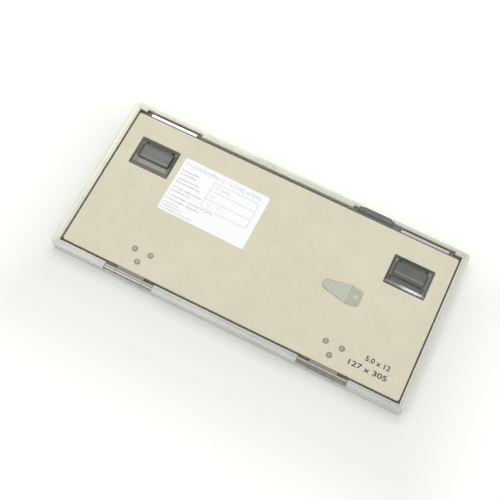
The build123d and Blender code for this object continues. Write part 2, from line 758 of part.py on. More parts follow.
def latch_housing(x):
    """The moulded tub of one latch: a well with sloping sides, a shelf for the fingertip on the
    near side and a straight pocket behind."""
    flange_bottom = sheet_bottom - flange_thickness
    tub = sloped_block(
        x,
        backing_top,
        flange_bottom,
        floor_length + 2 * housing_wall,
        well_length,
        (floor_near_edge - housing_wall, pocket_far_edge + housing_wall),
        (well_near_edge, well_far_edge),
    )
    well = sloped_block(
        x,
        well_floor,
        lid_top,
        floor_length,
        well_length - 2 * bezel,
        (floor_near_edge, floor_far_edge),
        (shelf_far_edge, well_far_edge - bezel),
    )
    half_shelf = well_length / 2 - bezel
    shelf_plane = Plane(origin=(x - half_shelf, 0, 0), x_dir=(0, 1, 0), z_dir=(1, 0, 0))
    with BuildPart() as housing:
        with BuildSketch(Plane.XY.offset(flange_bottom)):
            with Locations((x, well_middle)):
                RectangleRounded(well_length, well_width, well_corner_radius)
        extrude(amount=lid_top - flange_bottom)
        with BuildSketch(Plane.XY.offset(flange_bottom)):
            with Locations((x, well_middle)):
                RectangleRounded(
                    well_length + 2 * housing_flange,
                    well_width + 2 * housing_flange,
                    well_corner_radius + housing_flange,
                )
        extrude(amount=flange_thickness)
        add(tub)
        add(well, mode=Mode.SUBTRACT)
        # the shelf that falls gently from the bezel to the well
        with BuildSketch(shelf_plane):
            with BuildLine():
                shelf_near = lid_top - finger_shelf_drop
                Polyline(
                    (shelf_near_edge, lid_top),
                    (shelf_near_edge, shelf_near),
                    (shelf_far_edge, shelf_near - finger_shelf_fall),
                    (shelf_far_edge, lid_top),
                    close=True,
                )
            make_face()
        extrude(amount=2 * half_shelf, mode=Mode.SUBTRACT)
        with BuildSketch(Plane.XY.offset(well_floor)):
            with Locations((x, floor_far_edge - overrun)):
                Rectangle(
                    floor_length,
                    pocket_far_edge - floor_far_edge + overrun,
                    align=(Align.CENTER, Align.MIN),
                )
        extrude(amount=slider_top - well_floor, mode=Mode.SUBTRACT)
        # the slot that lets the tongue's tail out of the pocket
        with BuildSketch(Plane.XY.offset(tongue_bottom - slot_clearance)):
            with Locations((x, pocket_far_edge - overrun)):
                Rectangle(
                    tongue_tail_length + 2 * notch_clearance,
                    flange_far_edge - pocket_far_edge + 2 * overrun,
                    align=(Align.CENTER, Align.MIN),
                )
        extrude(amount=tongue_thickness + 2 * slot_clearance, mode=Mode.SUBTRACT)
    return housing.part


def latch_slider(x):
    """The finger piece: a block with a dished top, a ridge and a bevel towards the finger."""
    section_plane = Plane(origin=(x - slider_length / 2, 0, 0), x_dir=(0, 1, 0), z_dir=(1, 0, 0))
    ridge_far = slider_near_edge + slider_bevel + slider_ridge
    with BuildPart() as slider:
        with BuildSketch(section_plane):
            with BuildLine():
                Polyline(
                    (slider_near_edge + slider_bevel, slider_top),
                    (slider_near_edge, slider_top - slider_bevel_drop),
                    (slider_near_edge, slider_bottom),
                    (slider_far_edge, slider_bottom),
                    (slider_far_edge, slider_top),
                )
                dish_middle = (ridge_far + slider_far_edge) / 2
                ThreePointArc(
                    (slider_far_edge, slider_top),
                    (dish_middle, slider_top - slider_dish_depth),
                    (ridge_far, slider_top),
                )
                Line((ridge_far, slider_top), (slider_near_edge + slider_bevel, slider_top))
            make_face()
        extrude(amount=slider_length)
        # the tongue's tail is moulded into the block
        with BuildSketch(Plane.XY.offset(tongue_bottom)):
            with Locations((x, tongue_tail_end)):
                Rectangle(
                    tongue_tail_length,
                    slider_far_edge - tongue_tail_end,
                    align=(Align.CENTER, Align.MIN),
                )
        extrude(amount=tongue_thickness, mode=Mode.SUBTRACT)
    return slider.part


def guide_stud_places(x):
    """Where the two guide studs stand under the lid."""
    return [(x - stud_spacing / 2, stud_y), (x + stud_spacing / 2, stud_y)]


def latch_tongue(x):
    """The steel tongue: a wide bevelled plate on a tail, with two slots for the guide studs."""
    with BuildPart() as tongue:
        with BuildSketch(Plane.XY.offset(tongue_bottom)):
            with Locations((x, tongue_shoulder_edge)):
                Rectangle(
                    tongue_length,
                    tongue_edge - tongue_shoulder_edge,
                    align=(Align.CENTER, Align.MIN),
                )
            with Locations((x, tongue_tail_end)):
                Rectangle(
                    tongue_tail_length,
                    tongue_shoulder_edge - tongue_tail_end,
                    align=(Align.CENTER, Align.MIN),
                )
        extrude(amount=tongue_thickness)
        nose = tongue.edges().filter_by(Axis.X).group_by(Axis.Y)[-1].sort_by(Axis.Z)[-1]
        chamfer(nose, tongue_thickness - tongue_nose, tongue_bevel)
        slot_width = 2 * (stud_radius + stud_clearance)
        with BuildSketch(Plane.XY.offset(tongue_bottom)):
            for stud_x, y in guide_stud_places(x):
                with Locations((stud_x, y - throw / 2)):
                    SlotOverall(slot_width + throw, slot_width, rotation=90)
        extrude(amount=tongue_thickness, mode=Mode.SUBTRACT)
    return tongue.part


def latch_studs(x):
    """Two headed studs under the lid that guide and carry the tongue."""
    with BuildPart() as studs:
        with BuildSketch(Plane.XY.offset(sheet_bottom)):
            with Locations(*guide_stud_places(x)):
                Circle(stud_radius)
        extrude(amount=-(sheet_bottom - tongue_bottom + slot_clearance / 2))
        with BuildSketch(Plane.XY.offset(tongue_bottom - slot_clearance / 2)):
            with Locations(*guide_stud_places(x)):
                Circle(stud_head_radius)
        extrude(amount=-stud_head)
    return studs.part


def friction_spring(x, side):
    """A bowed leaf beside the tongue, on the side given, with a foot fixed under the lid."""
    bow_x = x + side * (tongue_length / 2 + spring_gap)
    foot_x = bow_x + side * spring_bow
    foot_y = lid_latch_edge - lid_sheet - spring_foot
    start_y = foot_y - spring_length
    with BuildPart() as spring:
        with BuildSketch(Plane.XY.offset(tongue_bottom)):
            with BuildLine() as centre_line:
                ThreePointArc(
                    (foot_x + side * spring_thickness / 2, start_y),
                    (bow_x + side * spring_thickness / 2, start_y + spring_length / 2),
                    (foot_x + side * spring_thickness / 2, foot_y),
                )
            trace(centre_line.edges(), spring_thickness)
        extrude(amount=tongue_thickness)
        with BuildSketch(Plane.XY.offset(tongue_bottom)):
            with Locations((foot_x + side * spring_thickness / 2, foot_y + spring_foot / 2)):
                Rectangle(spring_foot_width, spring_foot)
        extrude(amount=sheet_bottom - tongue_bottom)
    return spring.part


for side_name, side_sign in (("left", -1), ("right", 1)):
    middle_x = side_sign * latch_x
    save(latch_housing(middle_x), f"latch_housing_{side_name}")
    save(latch_slider(middle_x), f"latch_slider_{side_name}")
    save(latch_tongue(middle_x), f"latch_tongue_{side_name}")
    save(latch_studs(middle_x), f"latch_guide_studs_{side_name}")
    save(friction_spring(middle_x, side_sign), f"latch_friction_spring_{side_name}")
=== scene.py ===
import logging
import math
from collections.abc import Callable, Iterator, Sequence
from contextlib import contextmanager
from dataclasses import dataclass
from enum import Enum
from functools import reduce
from typing import Any

import bmesh
import bpy
from mathutils import Matrix, Vector


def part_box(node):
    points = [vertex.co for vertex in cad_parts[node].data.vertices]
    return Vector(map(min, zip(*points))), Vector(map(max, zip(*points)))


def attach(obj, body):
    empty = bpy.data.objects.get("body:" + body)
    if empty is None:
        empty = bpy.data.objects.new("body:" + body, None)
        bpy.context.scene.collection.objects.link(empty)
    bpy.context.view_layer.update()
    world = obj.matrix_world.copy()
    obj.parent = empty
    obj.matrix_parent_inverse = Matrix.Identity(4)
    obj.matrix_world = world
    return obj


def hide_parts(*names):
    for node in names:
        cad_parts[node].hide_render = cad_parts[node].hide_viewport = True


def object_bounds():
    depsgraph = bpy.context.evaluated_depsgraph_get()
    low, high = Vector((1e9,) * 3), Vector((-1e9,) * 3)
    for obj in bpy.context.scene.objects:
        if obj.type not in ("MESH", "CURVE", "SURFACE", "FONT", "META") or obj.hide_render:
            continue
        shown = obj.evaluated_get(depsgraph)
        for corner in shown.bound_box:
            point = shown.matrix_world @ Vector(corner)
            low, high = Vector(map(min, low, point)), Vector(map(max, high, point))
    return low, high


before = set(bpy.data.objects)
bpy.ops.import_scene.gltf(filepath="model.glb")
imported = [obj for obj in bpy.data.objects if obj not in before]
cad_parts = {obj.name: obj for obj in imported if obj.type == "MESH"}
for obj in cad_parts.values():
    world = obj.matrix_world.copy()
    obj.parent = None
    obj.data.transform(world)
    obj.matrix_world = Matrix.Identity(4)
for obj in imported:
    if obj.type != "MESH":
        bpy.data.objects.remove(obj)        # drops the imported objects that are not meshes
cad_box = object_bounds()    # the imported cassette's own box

log = logging.getLogger("cassette")

Point = tuple[float, float, float]
Colour = tuple[int, int, int]

MM = 0.001                   # pieces are modelled in millimetres and handed over in metres
HAIR = 0.01                  # slack for picking faces and edges by their place, in millimetres


class Body(Enum):
    """The cassette's moving bodies."""

    FRAME = "frame"
    LID = "lid"
    LATCH_LEFT = "latch_left"
    LATCH_RIGHT = "latch_right"
    CARD_CLIP = "card_clip"


class Slot(Enum):
    """The finishes that the record names."""

    FRAME_ALUMINIUM = "frame_aluminium"
    KEY_PLASTIC = "key_plastic"
    ENTRY_PANEL = "entry_panel"
    SCREEN = "screen"
    FELT = "felt"
    LID_PAINT = "lid_paint"
    BACKING_PLATE = "backing_plate"
    LEAD = "lead"
    FOAM = "foam"
    TAB_PLASTIC = "tab_plastic"
    LABEL_PAPER = "label_paper"
    CLIP_STEEL = "clip_steel"
    RIVET_METAL = "rivet_metal"
    HINGE_STEEL = "hinge_steel"
    LATCH_PLASTIC = "latch_plastic"
    TONGUE_STEEL = "tongue_steel"


class Side(Enum):
    """The two ends of the cassette, each with a hinge and a latch."""

    LEFT = "left"
    RIGHT = "right"


class Pick(Enum):
    """What an edit picks: faces, edges or corners."""

    FACES = "FACE"
    EDGES = "EDGE"
    CORNERS = "VERT"


def linear(colour: Colour) -> tuple[float, float, float, float]:
    """Turns a colour as a screen shows it into the light that a shader wants.

    Args:
        colour: Red, green and blue, each from 0 to 255.

    Returns:
        The same colour in linear light, with full alpha.
    """
    shares = [channel / 255 for channel in colour]
    light = [s / 12.92 if s <= 0.04045 else ((s + 0.055) / 1.055) ** 2.4 for s in shares]
    return (light[0], light[1], light[2], 1.0)


def span(node: str) -> tuple[Vector, Vector]:
    """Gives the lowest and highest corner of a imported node.

    Args:
        node: The node's name.

    Returns:
        Both corners, in millimetres.
    """
    low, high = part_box(node)
    return low / MM, high / MM


# ---------------------------------------------------------------- effects that finishes share
class Effect(Enum):
    """The node groups that several finishes use."""

    GRAIN = "fine_grain"
    EDGES = "worn_edges"
    SMUDGES = "smudges"
    BRUSHING = "brushed_lines"
    SCRATCHES = "hair_scratches"


class Graph:
    """A node tree that is filled in reading order."""

    def __init__(self, tree: bpy.types.NodeTree) -> None:
        """Keeps the tree that the nodes go into."""
        self.tree = tree

    def node(self, kind: str, inputs: dict[Any, Any] | None = None, **settings: Any) -> bpy.types.Node:
        """Adds one node.

        Args:
            kind: The node's type.
            inputs: What its inputs hold, by name or number: an output socket or a plain value.
            **settings: The node's own properties.

        Returns:
            The node.
        """
        node = self.tree.nodes.new(kind)
        for name, value in settings.items():
            setattr(node, name, value)
        for key, value in (inputs or {}).items():
            if isinstance(value, bpy.types.NodeSocket):
                self.tree.links.new(value, node.inputs[key])
            else:
                node.inputs[key].default_value = value
        return node

    def noise(self, place: Any, scale: Any, detail: float = 2.0, roughness: float = 0.5) -> Any:
        """Adds a noise pattern and returns its grey value."""
        inputs = {"Vector": place, "Scale": scale, "Detail": detail, "Roughness": roughness}
        return self.node("ShaderNodeTexNoise", inputs).outputs[0]

    def stretch(self, place: Any, factors: Any) -> Any:
        """Multiplies coordinates axis by axis."""
        node = self.node("ShaderNodeVectorMath", {0: place, 1: factors}, operation="MULTIPLY")
        return node.outputs["Vector"]

    def ramp(self, value: Any, low: float, high: float, start: float = 0.0, end: float = 1.0) -> Any:
        """Maps a value from low..high to start..end, and holds it there outside."""
        inputs = {"Value": value, "From Min": low, "From Max": high, "To Min": start, "To Max": end}
        return self.node("ShaderNodeMapRange", inputs).outputs["Result"]

    def maths(self, operation: str, first: Any, second: Any = 0.0) -> Any:
        """Adds one sum of two values."""
        return self.node("ShaderNodeMath", {0: first, 1: second}, operation=operation).outputs[0]

    def product(self, *factors: Any) -> Any:
        """Multiplies several values."""
        return reduce(lambda first, second: self.maths("MULTIPLY", first, second), factors)

    def between(self, mask: Any, first: Any, second: Any) -> Any:
        """Goes from one plain value to another by a mask."""
        return self.node("ShaderNodeMix", {0: mask, 2: first, 3: second}, data_type="FLOAT").outputs[0]

    def axes(self, place: Any) -> Any:
        """Splits coordinates into X, Y and Z."""
        return self.node("ShaderNodeSeparateXYZ", {0: place}).outputs

    def blend(self, mask: Any, first: Any, second: Any, kind: str = "MIX") -> Any:
        """Mixes two colours by a mask.

        Args:
            mask: Where the second colour shows.
            first: The colour under the mask, a socket or linear light.
            second: The colour that the mask lets in.
            kind: How they mix.

        Returns:
            The mixed colour's socket.
        """
        inputs = {"Factor": mask, "A": first, "B": second}
        node = self.tree.nodes.new("ShaderNodeMix")
        node.data_type = "RGBA"
        node.blend_type = kind
        sockets = {s.name: s for s in node.inputs if s.enabled}
        for name, value in inputs.items():
            if isinstance(value, bpy.types.NodeSocket):
                self.tree.links.new(value, sockets[name])
            else:
                sockets[name].default_value = value
        return next(s for s in node.outputs if s.enabled)


class EffectLibrary:
    """Builds each shared effect once, as a node group with named sockets."""

    def __init__(self) -> None:
        """Builds every effect."""
        builders = {
            Effect.GRAIN: self.fine_grain,
            Effect.EDGES: self.worn_edges,
            Effect.SMUDGES: self.smudges,
            Effect.BRUSHING: self.brushed_lines,
            Effect.SCRATCHES: self.hair_scratches,
        }
        self.trees = {effect: build(effect.value) for effect, build in builders.items()}

    @staticmethod
    def start(name: str, inputs: dict[str, str], outputs: dict[str, str]) -> tuple[Graph, Any, Any]:
        """Starts a group with its named sockets.

        Args:
            name: The group's name.
            inputs: Each input's name and its kind of socket.
            outputs: Each output's name and its kind of socket.

        Returns:
            The graph, the sockets that come in and the sockets that go out.
        """
        tree = bpy.data.node_groups.new(name, "ShaderNodeTree")
        for label, kind in inputs.items():
            tree.interface.new_socket(name=label, in_out="INPUT", socket_type=kind)
        for label, kind in outputs.items():
            tree.interface.new_socket(name=label, in_out="OUTPUT", socket_type=kind)
        source = tree.nodes.new("NodeGroupInput")
        target = tree.nodes.new("NodeGroupOutput")
        return Graph(tree), source.outputs, target.inputs

    def fine_grain(self, name: str) -> bpy.types.NodeTree:
        """Fine pimples, as on textured paint or spark-eroded plastic, and a slow mottle."""
        graph, come, go = self.start(
            name,
            {"Place": "NodeSocketVector", "Size": "NodeSocketFloat"},
            {"Height": "NodeSocketFloat", "Mottle": "NodeSocketFloat"},
        )
        per_size = graph.maths("DIVIDE", 1.0, come["Size"])
        pimples = graph.noise(come["Place"], per_size, 3.0, 0.6)
        slow = graph.noise(come["Place"], graph.maths("MULTIPLY", per_size, 0.03), 3.0, 0.6)
        graph.tree.links.new(graph.ramp(pimples, 0.3, 0.7), go["Height"])
        graph.tree.links.new(graph.ramp(slow, 0.35, 0.65), go["Mottle"])
        return graph.tree

    def worn_edges(self, name: str) -> bpy.types.NodeTree:
        """A mask along outside edges, broken up as wear is; the whole edge and the slanted faces, unbroken, which
        finishes use for painted highlights; and the normal of softened edges.
        """
        graph, come, go = self.start(
            name,
            {"Place": "NodeSocketVector", "Radius": "NodeSocketFloat", "Breaks": "NodeSocketFloat"},
            {
                "Mask": "NodeSocketFloat",
                "Whole": "NodeSocketFloat",
                "Slant": "NodeSocketFloat",
                "Normal": "NodeSocketVector",
            },
        )
        soft = graph.node("ShaderNodeBevel", {"Radius": come["Radius"]}, samples=6).outputs[0]
        face = graph.node("ShaderNodeNewGeometry").outputs["Normal"]
        along = graph.node("ShaderNodeVectorMath", {0: soft, 1: face}, operation="DOT_PRODUCT")
        lean = graph.maths("SUBTRACT", 1.0, along.outputs["Value"])
        edge = graph.ramp(lean, 0.01, 0.12)
        patches = graph.ramp(graph.noise(come["Place"], come["Breaks"], 4.0, 0.7), 0.42, 0.62)
        graph.tree.links.new(graph.maths("MULTIPLY", edge, patches), go["Mask"])
        own = graph.node(
            "ShaderNodeVectorTransform", {0: face}, vector_type="NORMAL", convert_from="WORLD", convert_to="OBJECT"
        )
        up = graph.axes(own.outputs[0])["Z"]
        # The slanted faces, marked for painted highlights.
        slant = graph.product(graph.ramp(up, 0.9, 0.96, 1.0, 0.0), graph.ramp(up, 0.2, 0.4))
        graph.tree.links.new(edge, go["Whole"])
        graph.tree.links.new(slant, go["Slant"])
        graph.tree.links.new(soft, go["Normal"])
        return graph.tree

    def smudges(self, name: str) -> bpy.types.NodeTree:
        """Soft patches left by hands and dust."""
        graph, come, go = self.start(
            name,
            {"Place": "NodeSocketVector", "Size": "NodeSocketFloat"},
            {"Mask": "NodeSocketFloat"},
        )
        per_size = graph.maths("DIVIDE", 1.0, come["Size"])
        broad = graph.ramp(graph.noise(come["Place"], per_size, 4.0, 0.6), 0.45, 0.75)
        fine = graph.ramp(graph.noise(come["Place"], graph.maths("MULTIPLY", per_size, 9.0), 2.0), 0.3, 0.7)
        graph.tree.links.new(graph.maths("MULTIPLY", broad, fine), go["Mask"])
        return graph.tree

    def brushed_lines(self, name: str) -> bpy.types.NodeTree:
        """Fine lines drawn out along one direction, as extrusion and brushing leave them."""
        graph, come, go = self.start(
            name,
            {"Place": "NodeSocketVector", "Stretch": "NodeSocketVector"},
            {"Height": "NodeSocketFloat", "Streaks": "NodeSocketFloat"},
        )
        drawn = graph.stretch(come["Place"], come["Stretch"])
        lines = graph.noise(drawn, 9.0, 3.0, 0.6)
        streaks = graph.noise(drawn, 1.3, 2.0, 0.5)
        graph.tree.links.new(lines, go["Height"])
        graph.tree.links.new(graph.ramp(streaks, 0.35, 0.65), go["Streaks"])
        return graph.tree

    def hair_scratches(self, name: str) -> bpy.types.NodeTree:
        """A few thin scratches in two slanting directions."""
        graph, come, go = self.start(
            name,
            {"Place": "NodeSocketVector", "Size": "NodeSocketFloat"},
            {"Mask": "NodeSocketFloat"},
        )
        per_size = graph.maths("DIVIDE", 1.0, come["Size"])
        masks = []
        for turn, offset in ((0.6, 0.0), (-0.9, 37.0)):
            mapping = graph.node(
                "ShaderNodeMapping",
                {"Vector": come["Place"], "Rotation": (0, 0, turn), "Location": (offset, 0, 0)},
            )
            drawn = graph.stretch(mapping.outputs[0], (0.035, 1.0, 1.0))
            masks.append(graph.ramp(graph.noise(drawn, per_size, 2.0, 0.4), 0.70, 0.74))
        graph.tree.links.new(graph.maths("MAXIMUM", *masks), go["Mask"])
        return graph.tree


class Shader(Graph):
    """One material: a Principled surface and the cassette's millimetres to place patterns by."""

    def __init__(self, name: str, effects: EffectLibrary) -> None:
        """Starts a material.

        Args:
            name: The material's name.
            effects: The shared effects.
        """
        self.material = bpy.data.materials.new(name)
        self.material.use_nodes = True
        super().__init__(self.material.node_tree)
        self.tree.nodes.clear()
        self.effects = effects
        self.surface = self.node("ShaderNodeBsdfPrincipled")
        self.node("ShaderNodeOutputMaterial", {"Surface": self.surface.outputs[0]})
        metres = self.node("ShaderNodeTexCoord").outputs["Object"]
        millimetres = self.node("ShaderNodeMapping", {"Vector": metres, "Scale": (1 / MM,) * 3})
        self.place = millimetres.outputs[0]

    def effect(self, effect: Effect, **inputs: Any) -> Any:
        """Places a shared effect and returns its outputs.

        Args:
            effect: Which one.
            **inputs: Its inputs by name, in lower case. The place is given by itself.

        Returns:
            The effect's outputs, by name.
        """
        group = self.node("ShaderNodeGroup", node_tree=self.effects.trees[effect])
        self.tree.links.new(self.place, group.inputs["Place"])
        for name, value in inputs.items():
            group.inputs[name.capitalize()].default_value = value
        return group.outputs

    def set(self, **values: Any) -> None:
        """Sets or links the surface's sockets, named with underscores for spaces."""
        for name, value in values.items():
            socket = self.surface.inputs[name.replace("_", " ").title()]
            if isinstance(value, bpy.types.NodeSocket):
                self.tree.links.new(value, socket)
            else:
                socket.default_value = value

    def bump(self, height: Any, depth: float, normal: Any = None) -> Any:
        """Raises the surface by a pattern.

        Args:
            height: The pattern, from 0 to 1.
            depth: How far 1 stands above 0, in millimetres.
            normal: The normal that it adds to, if not the plain one.

        Returns:
            The new normal's socket.
        """
        inputs = {"Height": height, "Distance": depth * MM, "Strength": 1.0}
        if normal is not None:
            inputs["Normal"] = normal
        return self.node("ShaderNodeBump", inputs).outputs[0]


# ---------------------------------------------------------------- finishes
@dataclass(frozen=True)
class Paint:
    """Baked enamel with a fine texture, rubbed lighter along its edges in places, and by a share given a painted
    highlight along its whole edge and slanted faces.
    """

    name: str
    colour: Colour
    deep: Colour
    rubbed: Colour
    grain: float = 0.55
    grain_depth: float = 0.012
    roughness: float = 0.42
    edge_radius: float = 0.25
    # share of the edge colour that is a painted highlight along the whole edge and slants, not broken wear
    edge_highlight_share: float = 0.35

    def material(self, effects: EffectLibrary) -> bpy.types.Material:
        """Builds the paint.

        Args:
            effects: The shared effects.

        Returns:
            The material.
        """
        shader = Shader(self.name, effects)
        grain = shader.effect(Effect.GRAIN, size=self.grain)
        edges = shader.effect(Effect.EDGES, radius=self.edge_radius * MM, breaks=0.35)
        smudges = shader.effect(Effect.SMUDGES, size=45.0)
        scratches = shader.effect(Effect.SCRATCHES, size=1.6)
        base = shader.blend(grain["Mottle"], linear(self.colour), linear(self.deep))
        smeared = shader.blend(shader.maths("MULTIPLY", smudges["Mask"], 0.25), base, linear(self.deep))
        marked = shader.blend(
            shader.maths("MULTIPLY", scratches["Mask"], 0.12), smeared, linear(self.rubbed)
        )
        # Painted highlight: the whole edge and the slanted faces take the pale rubbed colour by the edge share, in
        # place of the broken wear mask.
        along = shader.maths("MAXIMUM", edges["Whole"], edges["Slant"])
        wear_and_highlight_mask = shader.between(self.edge_highlight_share, edges["Mask"], along)
        wear_and_painted_light = shader.blend(shader.maths("MULTIPLY", wear_and_highlight_mask, 0.9), marked, linear(self.rubbed))
        height = shader.maths("SUBTRACT", grain["Height"], shader.maths("MULTIPLY", scratches["Mask"], 0.8))
        shader.set(
            base_color=wear_and_painted_light,
            roughness=shader.ramp(smudges["Mask"], 0.0, 1.0, self.roughness, self.roughness + 0.14),
            normal=shader.bump(height, self.grain_depth, edges["Normal"]),
        )
        return shader.material


@dataclass(frozen=True)
class Anodised:
    """Satin anodised aluminium, with the fine lines of the extrusion along it."""

    name: str
    colour: Colour
    streak: Colour
    dull: Colour
    along: Point
    mitre_place: float
    roughness: float = 0.34
    bare: Colour = (226, 223, 216)
    wall: float = 1.15
    lip: float = 1.15

    def material(self, effects: EffectLibrary) -> bpy.types.Material:
        """Builds the metal.

        Args:
            effects: The shared effects.

        Returns:
            The material.
        """
        shader = Shader(self.name, effects)
        brushing = shader.effect(Effect.BRUSHING, stretch=self.along)
        edges = shader.effect(Effect.EDGES, radius=0.18 * MM, breaks=0.5)
        smudges = shader.effect(Effect.SMUDGES, size=30.0)
        scratches = shader.effect(Effect.SCRATCHES, size=0.9)
        base = shader.blend(brushing["Streaks"], linear(self.colour), linear(self.streak))
        smeared = shader.blend(shader.maths("MULTIPLY", smudges["Mask"], 0.45), base, linear(self.dull))
        mitre = self.mitre_line(shader)
        joined = shader.blend(shader.maths("MULTIPLY", mitre, 0.7), smeared, linear(self.dull))
        bright = shader.blend(shader.maths("MULTIPLY", edges["Mask"], 0.6), joined, linear((242, 242, 238)))
        inside = self.channel(shader)
        bare = shader.blend(inside, bright, linear(self.bare))
        height = shader.maths(
            "SUBTRACT",
            shader.maths("SUBTRACT", brushing["Height"], shader.maths("MULTIPLY", scratches["Mask"], 0.8)),
            shader.maths("MULTIPLY", mitre, 4.0),
        )
        shader.set(
            base_color=bare,
            metallic=shader.between(inside, 0.75, 0.0),
            roughness=shader.ramp(smudges["Mask"], 0.0, 1.0, self.roughness, self.roughness + 0.16),
            normal=shader.bump(height, 0.006, edges["Normal"]),
        )
        return shader.material

    def channel(self, shader: Shader) -> Any:
        """Marks the inside of the rail's channel, where the aluminium is bare.

        Args:
            shader: The material being built.

        Returns:
            The mask.
        """
        corner = Vector(cad_box[1]) / MM
        parts = shader.axes(shader.place)
        masks = []
        for axis, limit in (("X", corner.x - self.wall), ("Y", corner.y - self.wall), ("Z", corner.z - self.lip)):
            reach = shader.maths("ABSOLUTE", parts[axis])
            masks.append(shader.ramp(reach, limit - 0.05, limit + 0.05, 1.0, 0.0))
        return shader.product(*masks)

    def mitre_line(self, shader: Shader) -> Any:
        """Marks the hair line where two rails meet at 45 degrees.

        Args:
            shader: The material being built.

        Returns:
            The line's mask.
        """
        parts = shader.axes(shader.place)
        across = shader.maths("ABSOLUTE", parts["X"])
        along = shader.maths("ABSOLUTE", parts["Y"])
        gap = shader.maths("SUBTRACT", shader.maths("SUBTRACT", across, along), self.mitre_place)
        return shader.ramp(shader.maths("ABSOLUTE", gap), 0.05, 0.16, 1.0, 0.0)


@dataclass(frozen=True)
class Zone:
    """A stretch of a piece with its own colour and polish, for a real change of finish or for painted light and
    shade: it starts and is full at two places on an axis.
    """

    axis: str
    start: float
    full: float
    colour: Colour
    roughness: float = 0.1
    metallic: float = 0.0
    ceiling: float = 100.0
    fade: float = 0.2

    def mask(self, shader: Shader) -> Any:
        """Marks the stretch.

        Args:
            shader: The material being built.

        Returns:
            The mask.
        """
        parts = shader.axes(shader.place)
        along = shader.ramp(parts[self.axis], self.start, self.full)
        below = shader.ramp(parts["Z"], self.ceiling - self.fade, self.ceiling + self.fade, 1.0, 0.0)
        return shader.maths("MULTIPLY", along, below)


@dataclass(frozen=True)
class MouldedPlastic:
    """Injection-moulded plastic, glossy or grained, with paler rubbed edges and zones of painted light, shade and
    highlights.
    """

    name: str
    colour: Colour
    deep: Colour
    rubbed: Colour
    roughness: float = 0.22
    grain: float = 0.4
    grain_depth: float = 0.002
    edge_radius: float = 0.2
    dust: float = 0.25
    haze: float = 0.2
    ior: float = 1.5
    # zones of painted light, shade and highlights
    zones: tuple[Zone, ...] = ()

    def material(self, effects: EffectLibrary) -> bpy.types.Material:
        """Builds the plastic.

        Args:
            effects: The shared effects.

        Returns:
            The material.
        """
        shader = Shader(self.name, effects)
        grain = shader.effect(Effect.GRAIN, size=self.grain)
        edges = shader.effect(Effect.EDGES, radius=self.edge_radius * MM, breaks=0.8)
        smudges = shader.effect(Effect.SMUDGES, size=9.0)
        scratches = shader.effect(Effect.SCRATCHES, size=0.7)
        base = shader.blend(grain["Mottle"], linear(self.colour), linear(self.deep))
        dusty = shader.blend(shader.maths("MULTIPLY", smudges["Mask"], self.dust), base, linear(self.rubbed))
        wear_and_painted_light = shader.blend(shader.maths("MULTIPLY", edges["Mask"], 0.55), dusty, linear(self.rubbed))
        # Zones of painted light and shade in the wells and painted highlights on the sliders.
        for zone in self.zones:
            wear_and_painted_light = shader.blend(zone.mask(shader), wear_and_painted_light, linear(zone.colour))
        height = shader.maths("SUBTRACT", grain["Height"], shader.maths("MULTIPLY", scratches["Mask"], 0.9))
        shader.set(
            base_color=wear_and_painted_light,
            roughness=shader.ramp(smudges["Mask"], 0.0, 1.0, self.roughness, self.roughness + self.haze),
            normal=shader.bump(height, self.grain_depth, edges["Normal"]),
        )
        shader.surface.inputs["IOR"].default_value = self.ior
        return shader.material


@dataclass(frozen=True)
class Steel:
    """Bare or plated steel, from bright rolled strip to a dull blasted plate, with a painted highlight along its
    edges where a share is given, and a zone of its own finish or of painted shade.
    """

    name: str
    colour: Colour
    tarnish: Colour
    along: Point
    roughness: float = 0.2
    metallic: float = 1.0
    line_depth: float = 0.0015
    haze: float = 0.18
    edge_radius: float = 0.12
    edge_highlight_share: float = 0.0
    # the colour of the painted edge highlight
    rubbed: Colour = (238, 238, 224)
    zone: Zone | None = None

    def material(self, effects: EffectLibrary) -> bpy.types.Material:
        """Builds the steel.

        Args:
            effects: The shared effects.

        Returns:
            The material.
        """
        shader = Shader(self.name, effects)
        brushing = shader.effect(Effect.BRUSHING, stretch=self.along)
        edges = shader.effect(Effect.EDGES, radius=self.edge_radius * MM, breaks=1.0)
        smudges = shader.effect(Effect.SMUDGES, size=6.0)
        scratches = shader.effect(Effect.SCRATCHES, size=0.5)
        streaked = shader.maths("MULTIPLY", brushing["Streaks"], 0.35)
        base = shader.blend(streaked, linear(self.colour), linear(self.tarnish))
        smudged_and_painted_light = shader.blend(shader.maths("MULTIPLY", smudges["Mask"], 0.5), base, linear(self.tarnish))
        # Painted highlight along the whole edge, in the rubbed colour, by the edge share.
        if self.edge_highlight_share:
            rim = shader.maths("MULTIPLY", edges["Whole"], self.edge_highlight_share)
            smudged_and_painted_light = shader.blend(rim, smudged_and_painted_light, linear(self.rubbed))
        height = shader.maths(
            "SUBTRACT", brushing["Height"], shader.maths("MULTIPLY", scratches["Mask"], 0.6)
        )
        rough = shader.ramp(smudges["Mask"], 0.0, 1.0, self.roughness, self.roughness + self.haze)
        metallic = self.metallic
        # A zone of its own finish, as on the dull hinge leaf, or of painted shade, as on the tongue's tail.
        if self.zone:
            inside = self.zone.mask(shader)
            smudged_and_painted_light = shader.blend(inside, smudged_and_painted_light, linear(self.zone.colour))
            rough = shader.between(inside, rough, self.zone.roughness)
            metallic = shader.between(inside, metallic, self.zone.metallic)
        shader.set(
            base_color=smudged_and_painted_light,
            metallic=metallic,
            roughness=rough,
            normal=shader.bump(height, self.line_depth, edges["Normal"]),
        )
        return shader.material


